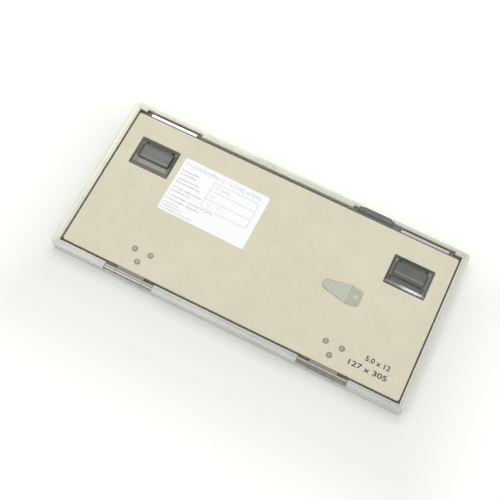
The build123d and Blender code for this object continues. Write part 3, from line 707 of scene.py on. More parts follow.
@dataclass(frozen=True)
class Paper:
    """Coated label paper with a trace of fibre."""

    name: str
    colour: Colour
    fibre: Colour

    def material(self, effects: EffectLibrary) -> bpy.types.Material:
        """Builds the paper.

        Args:
            effects: The shared effects.

        Returns:
            The material.
        """
        shader = Shader(self.name, effects)
        grain = shader.effect(Effect.GRAIN, size=0.3)
        smudges = shader.effect(Effect.SMUDGES, size=14.0)
        base = shader.blend(shader.maths("MULTIPLY", grain["Height"], 0.3), linear(self.colour), linear(self.fibre))
        handled = shader.blend(shader.maths("MULTIPLY", smudges["Mask"], 0.5), base, linear(self.fibre))
        shader.set(
            base_color=handled,
            roughness=shader.ramp(smudges["Mask"], 0.0, 1.0, 0.38, 0.6),
            normal=shader.bump(grain["Height"], 0.004),
        )
        return shader.material


@dataclass(frozen=True)
class Ink:
    """Printed ink, a little uneven."""

    name: str
    colour: Colour
    thin: Colour

    def material(self, effects: EffectLibrary) -> bpy.types.Material:
        """Builds the ink.

        Args:
            effects: The shared effects.

        Returns:
            The material.
        """
        shader = Shader(self.name, effects)
        grain = shader.effect(Effect.GRAIN, size=0.25)
        base = shader.blend(shader.maths("MULTIPLY", grain["Height"], 0.6), linear(self.colour), linear(self.thin))
        shader.set(base_color=base, roughness=0.5, normal=shader.bump(grain["Height"], 0.003))
        return shader.material


@dataclass(frozen=True)
class Fibrous:
    """Felt or open-celled foam: a rough, soft surface of pits and fibres."""

    name: str
    colour: Colour
    deep: Colour
    cell: float
    depth: float
    sheen: float

    def material(self, effects: EffectLibrary) -> bpy.types.Material:
        """Builds the felt or foam.

        Args:
            effects: The shared effects.

        Returns:
            The material.
        """
        shader = Shader(self.name, effects)
        grain = shader.effect(Effect.GRAIN, size=self.cell)
        cells = shader.node(
            "ShaderNodeTexVoronoi", {"Vector": shader.place, "Scale": 1 / self.cell}
        ).outputs["Distance"]
        pits = shader.ramp(cells, 0.1, 0.6)
        base = shader.blend(pits, linear(self.deep), linear(self.colour))
        mottled = shader.blend(shader.maths("MULTIPLY", grain["Mottle"], 0.4), base, linear(self.deep))
        height = shader.maths("ADD", pits, shader.maths("MULTIPLY", grain["Height"], 0.6))
        shader.set(
            base_color=mottled,
            roughness=0.95,
            sheen_weight=self.sheen,
            sheen_roughness=0.5,
            normal=shader.bump(height, self.depth),
        )
        return shader.material


class FinishLibrary:
    """Every finish on the cassette, made once."""

    def __init__(self, effects: EffectLibrary, mitre_place: float) -> None:
        """Makes every finish.

        Args:
            effects: The shared effects.
            mitre_place: How much further out in X than in Y the mitred joints run, in millimetres.
        """
        crossways = (0.02, 1.0, 1.0)
        upright = (1.0, 0.02, 1.0)
        even = (1.0, 1.0, 1.0)
        # Painted shade: the tongue's tail, back under the lid's edge, is a dull dark grey for the shade it lies in.
        painted_shade_tail = Zone("Y", 72.2, 71.7, (92, 92, 87), 0.6, 0.0)
        dull_leaf = Zone("Y", -73.9, -73.6, (152, 152, 141), 0.55, 0.3)
        glossy = ((85, 88, 80), (79, 81, 75), (130, 130, 118), 0.055, 0.4, 0.00005, 0.2, 0.12, 0.03, 1.7)
        finger = ((95, 98, 91), (90, 92, 86), *glossy[2:])
        nose = finger[0]
        # Painted light: the pocket's deep corners are lightened against their shade.
        pocket = Zone("Y", 44.6, 45.0, (124, 125, 116), ceiling=7.0)
        # Painted light on each well's floor in front of the slider: pale and greenish on the left, a darker grey on
        # the right.
        painted_light_floor_left = Zone("Y", 31.4, 30.9, (150, 152, 126), ceiling=8.5)
        painted_light_floor_right = Zone("Y", 31.4, 30.9, (106, 105, 102), ceiling=8.5)
        # Painted light in the wells: the deep walls are lightened against their shade, more on the right than on the
        # left; the floor and pocket zones above are painted light too.
        well_left = (Zone("Z", 8.7, 8.3, (122, 124, 112)), painted_light_floor_left, pocket)
        well_right = (Zone("Z", 8.7, 8.3, (146, 145, 140)), painted_light_floor_right, pocket)
        # Painted highlights: a pale band across each slider's ridge, stopped at the nose by the slider's own colour.
        painted_highlight_ridge_left = (Zone("Y", 33.9, 33.5, (142, 145, 139)), Zone("Y", 32.6, 32.2, nose))
        painted_highlight_ridge_right = (Zone("Y", 35.7, 35.3, (126, 126, 126)), Zone("Y", 34.3, 33.9, nose))
        finishes = [
            # The lid's pale edge colour is mostly a painted highlight along its whole edge and slanted faces, by the
            # edge share 0.9.
            Paint(
                "lid_enamel", (221, 217, 194), (216, 212, 188), (252, 248, 234), edge_radius=0.6, edge_highlight_share=0.9
            ),
            Paint("panel_enamel", (214, 210, 196), (208, 204, 189), (232, 229, 218)),
            Paint("backing_enamel", (52, 53, 52), (44, 45, 44), (110, 110, 106), roughness=0.5),
            # The four rails are the same anodised aluminium; each side's colours are painted lighter or darker for
            # how the light falls on that side.
            Anodised("rail_front", (219, 220, 214), (205, 206, 200), (173, 174, 167), crossways, mitre_place),
            Anodised("rail_rear", (230, 231, 214), (216, 217, 200), (183, 184, 168), crossways, mitre_place),
            Anodised("rail_left", (240, 241, 224), (226, 227, 210), (192, 193, 178), upright, mitre_place),
            Anodised("rail_right", (234, 235, 225), (220, 221, 211), (187, 188, 179), upright, mitre_place),
            MouldedPlastic("well_left", *glossy, zones=well_left),
            MouldedPlastic("well_right", *glossy, zones=well_right),
            MouldedPlastic("slider_left", *finger, zones=painted_highlight_ridge_left),
            MouldedPlastic("slider_right", *finger, zones=painted_highlight_ridge_right),
            MouldedPlastic(
                "tab_grained", (108, 113, 106), (97, 101, 95), (160, 163, 156), roughness=0.5, grain_depth=0.02
            ),
            # Painted light: the corner keys are a light grey so that the corner gaps over them show lighter than
            # their shade.
            MouldedPlastic("key_nylon", (150, 147, 138), (140, 137, 128), (176, 174, 166), roughness=0.45),
            Steel("tongue_bright", (232, 224, 226), (204, 195, 197), crossways, 0.1, 1.0, 0.0004, zone=painted_shade_tail),
            Steel("hinge_barrel", (176, 174, 170), (140, 139, 133), crossways, 0.13, 1.0, 0.0003, 0.06),
            Steel("hinge_leaf", (176, 174, 170), (140, 139, 133), crossways, 0.13, 1.0, 0.0003, 0.06, zone=dull_leaf),
            Steel("rivet_zinc", (166, 164, 144), (146, 144, 126), even, roughness=0.3, metallic=0.6),
            Steel("rivet_core", (190, 187, 164), (172, 169, 148), even, roughness=0.3, metallic=0.5),
            Steel("clip_rivet_zinc", (216, 216, 204), (190, 190, 178), even, roughness=0.25, metallic=0.6),
            # The clip's leaf and base are one zinc plate: the base is painted darker for the shade its angle gives
            # it, and both have a painted highlight along their whole edges by the edge share.
            Steel("clip_zinc", (206, 208, 192), (196, 198, 182), crossways, 0.26, 0.5, 0.0004, 0.03, 0.5, 0.6),
            Steel("clip_base_zinc_painted_shade", (190, 192, 175), (180, 182, 165), crossways, 0.3, 0.5, 0.0004, 0.03, 0.5, 0.3),
            Steel("spring_steel", (170, 172, 176), (120, 122, 126), upright, roughness=0.25),
            Steel("lead_sheet", (118, 120, 124), (92, 94, 98), crossways, roughness=0.55, metallic=0.8),
            Paper("label_paper", (255, 255, 255), (249, 249, 247)),
            Paper("phosphor", (238, 240, 244), (226, 229, 236)),
            Ink("ink_dark", (108, 108, 108), (136, 136, 136)),
            Ink("ink_grey", (196, 196, 196), (214, 214, 214)),
            Ink("ink_blue", (190, 206, 222), (212, 222, 232)),
            Ink("ink_size", (58, 58, 55), (80, 80, 74)),
            # Painted light: the felt is a pale colour so that the deep gap over it shows lighter than its shade.
            Fibrous("felt", (222, 219, 206), (176, 173, 160), 0.22, 0.08, 0.3),
            Fibrous("foam", (70, 71, 74), (34, 35, 38), 0.5, 0.15, 0.15),
        ]
        self.materials = {finish.name: finish.material(effects) for finish in finishes}

    def __getitem__(self, name: str) -> bpy.types.Material:
        """Gives the material of one finish."""
        return self.materials[name]

    def dress(self, finish: str, *nodes: str) -> None:
        """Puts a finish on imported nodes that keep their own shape.

        Args:
            finish: The finish's name.
            *nodes: The nodes' names.
        """
        for name in nodes:
            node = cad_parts[name]
            if not node.material_slots:
                node.data.materials.append(None)
            for slot in node.material_slots:
                slot.material = self[finish]
        log.info("%s on %s", finish, ", ".join(nodes))


# ---------------------------------------------------------------- the bench
def take_up(obj: bpy.types.Object) -> None:
    """Makes one object the only one selected, and active."""
    bpy.ops.object.select_all(action="DESELECT")
    obj.select_set(True)
    bpy.context.view_layer.objects.active = obj


class Workpiece:
    """One mesh on the bench, in millimetres of the cassette's frame until it is handed over."""

    def __init__(self, name: str, obj: bpy.types.Object) -> None:
        """Names the mesh that was just added and puts its place into it.

        Args:
            name: The piece's name.
            obj: The object that an operator has just added.
        """
        obj.name = obj.data.name = name
        self.obj = obj
        take_up(obj)
        bpy.ops.object.transform_apply(location=True, rotation=True, scale=True)

    @classmethod
    def block(cls, name: str, low: Sequence[float], high: Sequence[float]) -> "Workpiece":
        """Starts a piece from a cube that fills a box.

        Args:
            name: The piece's name.
            low: The box's lowest corner.
            high: The box's highest corner.

        Returns:
            The piece.
        """
        bpy.ops.object.select_all(action="DESELECT")
        middle = (Vector(low) + Vector(high)) / 2
        bpy.ops.mesh.primitive_cube_add(size=1, location=middle, scale=Vector(high) - Vector(low))
        return cls(name, bpy.context.object)

    @classmethod
    def rod(
        cls, name: str, middle: Sequence[float], radius: float, length: float, axis: str = "Z", sides: int = 48
    ) -> "Workpiece":
        """Starts a piece from a cylinder.

        Args:
            name: The piece's name.
            middle: The middle of its axis.
            radius: Its radius.
            length: Its length along the axis.
            axis: X, Y or Z.
            sides: How many flat sides it has.

        Returns:
            The piece.
        """
        bpy.ops.object.select_all(action="DESELECT")
        quarter = math.pi / 2
        turn = {"X": (0, quarter, 0), "Y": (quarter, 0, 0), "Z": (0, 0, 0)}[axis]
        bpy.ops.mesh.primitive_cylinder_add(
            vertices=sides, radius=radius, depth=length, location=middle, rotation=turn
        )
        return cls(name, bpy.context.object)

    @classmethod
    def lettering(cls, name: str, words: str, size: tuple[float, float], weight: float = 0.0) -> "Workpiece":
        """Starts a piece from printed characters, with their lower left corner at the origin.

        Args:
            name: The piece's name.
            words: The characters.
            size: How long and how high they are together.
            weight: How much bolder they are, as a share of their height.

        Returns:
            The piece, as thick as a film of ink.
        """
        bpy.ops.object.select_all(action="DESELECT")
        bpy.ops.object.text_add(location=(0, 0, 0))
        curve = bpy.context.object.data
        curve.body = words
        curve.offset = weight
        curve.resolution_u = 3
        bpy.ops.object.convert(target="MESH")
        obj = bpy.context.object
        corners = [corner.co for corner in obj.data.vertices]
        low = [min(co[axis] for co in corners) for axis in (0, 1)]
        high = [max(co[axis] for co in corners) for axis in (0, 1)]
        scale = [size[axis] / (high[axis] - low[axis]) for axis in (0, 1)]
        obj.scale = (scale[0], scale[1], 1)
        obj.location = (-low[0] * scale[0], -low[1] * scale[1], 0)
        return cls(name, obj)

    def place(self, move: Sequence[float], turn: float = 0.0) -> None:
        """Turns the piece about the origin, level, and then moves it.

        Args:
            move: How far it moves.
            turn: How far it turns, in degrees.
        """
        self.obj.rotation_euler = (0, 0, math.radians(turn))
        self.obj.location = move
        take_up(self.obj)
        bpy.ops.object.transform_apply(location=True, rotation=True, scale=True)

    @contextmanager
    def edit(self) -> Iterator[None]:
        """Edit mode with nothing selected, left again at the end."""
        take_up(self.obj)
        bpy.ops.object.mode_set(mode="EDIT")
        bpy.ops.mesh.select_all(action="DESELECT")
        yield
        bpy.ops.object.mode_set(mode="OBJECT")

    def pick(self, kind: Pick, test: Callable[[Any], bool]) -> None:
        """Selects what passes a test, and nothing else.

        Args:
            kind: Faces, edges or corners.
            test: What is true of those that are wanted.
        """
        bpy.ops.mesh.select_mode(type=kind.value)
        bpy.ops.mesh.select_all(action="DESELECT")
        mesh = bmesh.from_edit_mesh(self.obj.data)
        mesh.normal_update()
        items = {Pick.FACES: mesh.faces, Pick.EDGES: mesh.edges, Pick.CORNERS: mesh.verts}[kind]
        wanted = [item for item in items if test(item)]
        if not wanted:
            raise ValueError(f"{self.obj.name}: nothing to pick")
        for item in wanted:
            item.select_set(True)
        bmesh.update_edit_mesh(self.obj.data)

    def bevel(self, test: Callable[[Any], bool], width: float, segments: int = 3) -> None:
        """Rounds the edges that pass a test, in edit mode."""
        self.pick(Pick.EDGES, test)
        bpy.ops.mesh.bevel(offset=width, segments=segments, affect="EDGES", clamp_overlap=True)

    def modify(self, kind: str, **settings: Any) -> None:
        """Adds one modifier and applies it.

        Args:
            kind: The modifier's type.
            **settings: Its settings.
        """
        take_up(self.obj)
        modifier = self.obj.modifiers.new(kind.lower(), kind)
        for name, value in settings.items():
            setattr(modifier, name, value)
        bpy.ops.object.modifier_apply(modifier=modifier.name)

    def combine(self, other: "Workpiece", operation: str) -> None:
        """Joins, cuts or trims this piece with another, which is used up.

        Args:
            other: The other piece.
            operation: UNION, DIFFERENCE or INTERSECT.
        """
        self.modify("BOOLEAN", operation=operation, solver="EXACT", object=other.obj)
        bpy.data.objects.remove(other.obj)

    def join(self, others: "Sequence[Workpiece]") -> None:
        """Takes other pieces into this mesh as they are."""
        take_up(self.obj)
        for other in others:
            other.obj.select_set(True)
        bpy.ops.object.join()

    def copy(self, name: str, move: Sequence[float]) -> "Workpiece":
        """Copies this piece, with its own mesh, to another place.

        Args:
            name: The copy's name.
            move: How far it moves.

        Returns:
            The copy.
        """
        take_up(self.obj)
        bpy.ops.object.duplicate(linked=False)
        twin = bpy.context.object
        twin.location = move
        return Workpiece(name, twin)

    def soften(self, width: float, segments: int = 2, angle: float = 30.0) -> None:
        """Breaks every sharp edge a little and shades the rest smooth.

        Args:
            width: How wide the broken edge is.
            segments: How many facets it has.
            angle: Edges that turn by more than this many degrees are sharp.
        """
        self.modify(
            "BEVEL",
            width=width,
            segments=segments,
            limit_method="ANGLE",
            angle_limit=math.radians(angle),
            use_clamp_overlap=True,
        )
        self.smooth(angle)

    def smooth(self, angle: float = 35.0) -> None:
        """Shades the piece smooth but for its sharp edges, and keeps its large flat faces flat."""
        take_up(self.obj)
        bpy.ops.object.shade_smooth_by_angle(angle=math.radians(angle))
        self.modify("WEIGHTED_NORMAL", mode="FACE_AREA", weight=100, keep_sharp=True)

    def hand_over(
        self, body: Body, slot: Slot, material: bpy.types.Material, replaces: Sequence[str] = ()
    ) -> bpy.types.Object:
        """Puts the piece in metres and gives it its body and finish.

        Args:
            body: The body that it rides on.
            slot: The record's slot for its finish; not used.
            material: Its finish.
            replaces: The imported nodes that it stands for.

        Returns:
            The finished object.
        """
        self.obj.data.transform(Matrix.Scale(MM, 4))
        self.obj.data.materials.clear()
        self.obj.data.materials.append(material)
        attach(self.obj, body.value)
        if replaces:
            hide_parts(*replaces)
        log.info("%s: %d faces, rides on %s", self.obj.name, len(self.obj.data.polygons), body.value)
        return self.obj


def upright(edge: Any) -> bool:
    """Whether an edge runs straight up."""
    along = edge.verts[1].co - edge.verts[0].co
    return math.hypot(along.x, along.y) < HAIR


def level_at(height: float) -> Callable[[Any], bool]:
    """Makes a test for edges or faces that lie level at a height."""
    return lambda item: all(abs(corner.co.z - height) < HAIR for corner in item.verts)


# ---------------------------------------------------------------- latches
@dataclass
class Latch:
    """One latch: a moulded well in the lid and a slider in it."""

    side: Side
    body: Body
    flange: float = 3.0
    flange_thickness: float = 0.6
    lid_sheet: float = 0.8
    bezel: float = 0.8
    well_corner: float = 1.2
    inner_corner: float = 2.0
    floor_thickness: float = 0.5
    side_run: float = 4.5
    shelf: float = 3.8
    shelf_brow: float = 1.1
    shelf_drop: float = 0.45
    brow_fall: float = 0.1
    shelf_fall: float = 0.8
    shelf_wall: float = 0.8
    wall: float = 0.8
    floor_fillet: float = 0.9
    pocket_setback: float = 2.15
    pocket_drop: float = 0.8
    slot_bottom: float = 7.0
    slot_top: float = 8.4
    slot_half_length: float = 12.3
    slider_bevel: float = 2.4
    slider_bevel_drop: float = 1.3
    slider_ridge: float = 1.2
    slider_dish: float = 0.25
    slider_round: float = 0.45

    def build(self, finishes: FinishLibrary) -> None:
        """Builds and dresses the housing and the slider.

        Args:
            finishes: Every finish.
        """
        housing = self.housing()
        housing.hand_over(
            Body.LID, Slot.LATCH_PLASTIC, finishes[f"well_{self.side.value}"], [f"latch_housing_{self.side.value}"]
        )
        slider = self.slider()
        slider.hand_over(
            self.body, Slot.LATCH_PLASTIC, finishes[f"slider_{self.side.value}"], [f"latch_slider_{self.side.value}"]
        )
        finishes.dress("tongue_bright", f"latch_tongue_{self.side.value}")
        finishes.dress("rivet_zinc", f"latch_guide_studs_{self.side.value}")
        finishes.dress("spring_steel", f"latch_friction_spring_{self.side.value}")

    def tapered(self, name: str, floor: Sequence[float], rim: Sequence[float], low: float, high: float) -> Workpiece:
        """Makes a block that is smaller below than above.

        Args:
            name: The block's name.
            floor: Its lowest face: least X, least Y, greatest X, greatest Y.
            rim: Its highest face, given alike.
            low: The height of its lowest face.
            high: The height of its highest face.

        Returns:
            The block.
        """
        block = Workpiece.block(name, (rim[0], rim[1], low), (rim[2], rim[3], high))
        middle = Vector(((rim[0] + rim[2]) / 2, (rim[1] + rim[3]) / 2, low))
        shrink = ((floor[2] - floor[0]) / (rim[2] - rim[0]), (floor[3] - floor[1]) / (rim[3] - rim[1]), 1)
        shift = ((floor[0] + floor[2]) / 2 - middle.x, (floor[1] + floor[3]) / 2 - middle.y, 0)
        with block.edit():
            block.pick(Pick.FACES, level_at(low))
            bpy.ops.transform.resize(value=shrink, center_override=middle)
            bpy.ops.transform.translate(value=shift)
        return block

    def housing(self) -> Workpiece:
        """Moulds the tub: a bezel in the lid's face, a fingertip shelf, sloping walls and a pocket.

        Returns:
            The tub.
        """
        low, high = span(f"latch_housing_{self.side.value}")
        rim = (low.x + self.flange, low.y + self.flange, high.x - self.flange, high.y - self.flange)
        mouth = (rim[0] + self.bezel, rim[1] + self.bezel, rim[2] - self.bezel, rim[3] - self.bezel)
        shelf_end = mouth[1] + self.shelf
        floor = (
            mouth[0] + self.side_run,
            shelf_end + self.shelf_wall,
            mouth[2] - self.side_run,
            mouth[3] - self.side_run,
        )
        top, sheet, base = high.z, high.z - self.lid_sheet, low.z + self.floor_thickness
        flange_low = sheet - self.flange_thickness
        pocket_far = rim[3] - self.pocket_setback

        collar = Workpiece.block(
            f"latch_well_{self.side.value}", (rim[0], rim[1], flange_low), (rim[2], rim[3], top)
        )
        with collar.edit():
            collar.bevel(upright, self.well_corner, 4)
        plate = Workpiece.block("flange", (low.x, low.y, flange_low), (high.x, high.y, sheet))
        with plate.edit():
            plate.bevel(upright, self.well_corner + self.flange, 5)
        tub_floor = (floor[0] - self.wall, floor[1] - self.wall, floor[2] + self.wall, pocket_far + self.wall)
        tub = self.tapered("tub", tub_floor, rim, low.z, flange_low + self.floor_thickness)
        collar.combine(plate, "UNION")
        collar.combine(tub, "UNION")

        well = self.tapered("well", floor, (mouth[0], shelf_end, mouth[2], mouth[3]), base, top)
        with well.edit():
            well.pick(Pick.FACES, level_at(top))
            bpy.ops.mesh.extrude_region_move(TRANSFORM_OT_translate={"value": (0, 0, 1)})
            well.bevel(lambda edge: self.is_far_corner(edge, mouth), self.inner_corner, 4)
            well.bevel(level_at(base), self.floor_fillet / 2, 3)
        collar.combine(well, "DIFFERENCE")
        lowest = top - self.shelf_drop - self.shelf_fall
        shelf_reach = shelf_end + self.shelf_wall * (top - lowest) / (top - base)
        collar.combine(self.shelf_cut(mouth, shelf_reach, top), "DIFFERENCE")
        pocket = Workpiece.block(
            "pocket", (floor[0], floor[3] - 1, base), (floor[2], pocket_far, top - self.pocket_drop)
        )
        with pocket.edit():
            pocket.bevel(lambda e: upright(e) and e.verts[0].co.y > floor[3], self.floor_fillet / 2, 3)
        collar.combine(pocket, "DIFFERENCE")
        middle = (rim[0] + rim[2]) / 2
        slot = Workpiece.block(
            "slot",
            (middle - self.slot_half_length, pocket_far - 1, self.slot_bottom),
            (middle + self.slot_half_length, high.y + 1, self.slot_top),
        )
        collar.combine(slot, "DIFFERENCE")
        brow = mouth[1] + self.shelf_brow
        with collar.edit():
            collar.pick(Pick.EDGES, lambda e: all(abs(corner.co.y - brow) < HAIR for corner in e.verts))
            bpy.ops.mesh.mark_sharp()
        collar.soften(0.14, 2)
        with collar.edit():
            collar.pick(Pick.FACES, lambda f: 0.9 < f.normal.z < 0.998 and f.calc_area() > self.shelf**2)
            bpy.ops.mesh.region_to_loop()
            bpy.ops.mesh.mark_sharp()
        collar.smooth(30.0)
        return collar

    def shelf_cut(self, mouth: Sequence[float], end: float, top: float) -> Workpiece:
        """Shapes what is cut away over the shelf for the fingertip: nearly level, then falling to the well.

        Args:
            mouth: The well's mouth: least X, least Y, greatest X, greatest Y.
            end: The Y where the shelf meets the well's wall.
            top: The height of the lid's face.

        Returns:
            The cutter.
        """
        lowest = top - self.shelf_drop - self.shelf_fall
        brow = mouth[1] + self.shelf_brow
        cut = Workpiece.block("shelf", (mouth[0], mouth[1], lowest), (mouth[2], end + HAIR, top + 1))
        with cut.edit():
            bpy.ops.mesh.select_all(action="SELECT")
            bpy.ops.mesh.bisect(plane_co=(0, brow, 0), plane_no=(0, 1, 0))
            for place, rise in ((mouth[1], self.shelf_fall), (brow, self.shelf_fall - self.brow_fall)):
                cut.pick(
                    Pick.CORNERS,
                    lambda c, place=place: abs(c.co.y - place) < HAIR and abs(c.co.z - lowest) < HAIR,
                )
                bpy.ops.transform.translate(value=(0, 0, rise))
            cut.bevel(lambda e: upright(e) and e.verts[0].co.y < mouth[1] + HAIR, self.floor_fillet, 4)
        return cut

    @staticmethod
    def is_far_corner(edge: Any, mouth: Sequence[float]) -> bool:
        """Whether an edge runs down one of the well's two far corners, from its mouth to its floor."""
        upper, lower = sorted((corner.co for corner in edge.verts), key=lambda co: -co.z)
        outer_x = min(abs(upper.x - mouth[0]), abs(upper.x - mouth[2])) < HAIR
        return outer_x and abs(upper.y - mouth[3]) < HAIR and upper.z - lower.z > 1 and lower.x != upper.x

    def slider(self) -> Workpiece:
        """Shapes the finger piece: a bevel towards the finger, a ridge and a dish behind it.

        Returns:
            The slider.
        """
        low, high = span(f"latch_slider_{self.side.value}")
        slider = Workpiece.block(f"latch_finger_piece_{self.side.value}", low, high)
        bevel_end = low.y + self.slider_bevel
        with slider.edit():
            bpy.ops.mesh.select_all(action="SELECT")
            bpy.ops.mesh.bisect(plane_co=(0, bevel_end, 0), plane_no=(0, 1, 0))
            slider.pick(
                Pick.CORNERS, lambda c: abs(c.co.y - low.y) < HAIR and abs(c.co.z - high.z) < HAIR
            )
            bpy.ops.transform.translate(value=(0, 0, -self.slider_bevel_drop))
        dish_start = bevel_end + self.slider_ridge
        half_chord = (high.y - dish_start) / 2
        radius = (half_chord**2 + self.slider_dish**2) / (2 * self.slider_dish)
        middle = ((low.x + high.x) / 2, dish_start + half_chord, high.z - self.slider_dish + radius)
        dish = Workpiece.rod("dish", middle, radius, 2 * (high.x - low.x), "X", 360)
        slider.combine(dish, "DIFFERENCE")
        slider.soften(self.slider_round, 3, 20.0)
        return slider


# ---------------------------------------------------------------- soft parts
class SoftParts:
    """The foam pressure pad and the felt light trap."""

    foam_corner = 3.0
    foam_waist = 0.35
    felt_width = 6.0
    felt_corner = 1.6
    felt_crown = 0.7
    felt_uneven = 0.12

    def build(self, finishes: FinishLibrary) -> None:
        """Builds and dresses both.

        Args:
            finishes: Every finish.
        """
        foam = self.foam().hand_over(Body.LID, Slot.FOAM, finishes["foam"], ["foam_pad"])
        felt = self.felt().hand_over(Body.FRAME, Slot.FELT, finishes["felt"], ["light_seal"])

    def foam(self) -> Workpiece:
        """Shapes the pad: rounded corners, and sides drawn in where the sheets squeeze it.

        Returns:
            The pad.
        """
        low, high = span("foam_pad")
        pad = Workpiece.block("pressure_foam", low, high)
        middle = (low.z + high.z) / 2
        with pad.edit():
            pad.bevel(upright, self.foam_corner, 5)
            for height in (middle - 0.3, middle, middle + 0.3):
                bpy.ops.mesh.select_all(action="SELECT")
                bpy.ops.mesh.bisect(plane_co=(0, 0, height), plane_no=(0, 0, 1))
            length, width = high.x - low.x, high.y - low.y
            for height, share in ((middle - 0.3, 0.8), (middle, 1.0), (middle + 0.3, 0.8)):
                drawn = 2 * self.foam_waist * share
                pad.pick(Pick.CORNERS, lambda c, height=height: abs(c.co.z - height) < HAIR)
                bpy.ops.transform.resize(value=(1 - drawn / length, 1 - drawn / width, 1), center_override=(0, 0, height))
        pad.smooth(60)
        return pad

    def felt(self) -> Workpiece:
        """Shapes the felt frame: a crowned strip all round, a little uneven on top.

        Returns:
            The felt.
        """
        low, high = span("light_seal")
        felt = Workpiece.block("felt_light_trap", low, high)
        hole = Workpiece.block(
            "hole",
            (low.x + self.felt_width, low.y + self.felt_width, low.z - 1),
            (high.x - self.felt_width, high.y - self.felt_width, high.z + 1),
        )
        felt.combine(hole, "DIFFERENCE")
        with felt.edit():
            felt.bevel(lambda e: upright(e) and abs(e.verts[0].co.x) > high.x - HAIR, self.felt_corner, 4)
            bpy.ops.mesh.select_all(action="SELECT")
            for place in range(-15, 16):
                bpy.ops.mesh.bisect(plane_co=(10.0 * place, 0, 0), plane_no=(1, 0, 0))
                bpy.ops.mesh.select_all(action="SELECT")
            for place in range(-6, 7):
                bpy.ops.mesh.bisect(plane_co=(0, 10.0 * place, 0), plane_no=(0, 1, 0))
                bpy.ops.mesh.select_all(action="SELECT")
            felt.bevel(lambda e: level_at(high.z)(e) and len({f.normal.z > 0.5 for f in e.link_faces}) == 2,
                       self.felt_crown, 3)
        take_up(felt.obj)
        clouds = bpy.data.textures.new("felt_unevenness", "CLOUDS")
        clouds.noise_scale = 14.0
        felt.modify("DISPLACE", texture=clouds, strength=-self.felt_uneven, mid_level=0.0, direction="Z")
        felt.smooth(50)
        return felt


# ---------------------------------------------------------------- hinges
@dataclass(frozen=True)
class LidRivets:
    """The three semi-tubular rivets of one hinge, their rolled heads on the lid."""

    side: Side
    head_radius: float = 2.75
    shank_radius: float = 1.6
    hollow: float = 1.4
    crest: float = 2.2
    head_low: float = 0.06
    groove: float = 0.26
    core_radius: float = 1.3
    core_drop: float = 0.06

    def build(self, finishes: FinishLibrary) -> None:
        """Builds and dresses the three.

        Args:
            finishes: Every finish.
        """
        node = f"hinge_lid_rivets_{self.side.value}"
        low, high = span(node)
        middle = (low.x + high.x) / 2
        far, near = high.y - self.head_radius, low.y + self.head_radius
        half = (high.x - low.x) / 2 - self.head_radius
        places = [(middle - half, far), (middle + half, far), (middle, near)]
        face = span("lid_panel")[1].z
        rivets = [self.rivet(f"lid_rivets_{self.side.value}", place, low.z, face, high.z) for place in places]
        rivets[0].join(rivets[1:])
        rivets[0].smooth(40)
        rivets[0].hand_over(Body.LID, Slot.RIVET_METAL, finishes["rivet_zinc"], [node])
        cores = [self.core(f"lid_rivet_cores_{self.side.value}", place, face, high.z) for place in places]
        cores[0].join(cores[1:])
        cores[0].smooth(40)
        cores[0].hand_over(Body.LID, Slot.RIVET_METAL, finishes["rivet_core"])

    def core(self, name: str, place: tuple[float, float], face: float, top: float) -> Workpiece:
        """Shapes the pressed core inside a rivet's rolled head, a little domed.

        Args:
            name: Its name.
            place: Its X and Y.
            face: The height of the lid's face.
            top: The height of the head's crest.

        Returns:
            The core.
        """
        high = top - self.core_drop
        core = Workpiece.rod(name, (place[0], place[1], (face + high) / 2), self.core_radius, high - face, "Z", 36)
        with core.edit():
            core.bevel(level_at(high), 0.12, 3)
        return core

    def rivet(self, name: str, place: tuple[float, float], low: float, face: float, top: float) -> Workpiece:
        """Turns one rivet: a shank, and a head that slopes up to a rolled crest round a flat centre.

        Args:
            name: Its name.
            place: Its X and Y.
            low: The height of its foot.
            face: The height of the lid's face.
            top: The height of its crest.

        Returns:
            The rivet.
        """
        middle = (place[0], place[1], (low + top) / 2)
        rivet = Workpiece.rod(name, middle, self.shank_radius, top - low, "Z", 40)
        centre = (place[0], place[1], 0)
        with rivet.edit():
            bpy.ops.mesh.select_all(action="SELECT")
            bpy.ops.mesh.bisect(plane_co=(0, 0, face), plane_no=(0, 0, 1))
            bpy.ops.mesh.select_all(action="SELECT")
            bpy.ops.mesh.bisect(plane_co=(0, 0, face + self.head_low), plane_no=(0, 0, 1))
            rings = ((face, self.head_radius - 0.1), (face + self.head_low, self.head_radius), (top, self.crest))
            for height, radius in rings:
                rivet.pick(Pick.CORNERS, lambda c, height=height: abs(c.co.z - height) < HAIR)
                grow = radius / self.shank_radius
                bpy.ops.transform.resize(value=(grow, grow, 1), center_override=centre)
            rivet.pick(Pick.FACES, level_at(top))
            bpy.ops.mesh.inset(thickness=0.3)
            bpy.ops.mesh.inset(thickness=self.crest - self.hollow - 0.5)
            bpy.ops.transform.translate(value=(0, 0, -self.groove))
            bpy.ops.mesh.inset(thickness=0.2)
            bpy.ops.transform.translate(value=(0, 0, self.groove * 0.6))
            rivet.bevel(level_at(top), 0.07, 2)
        return rivet


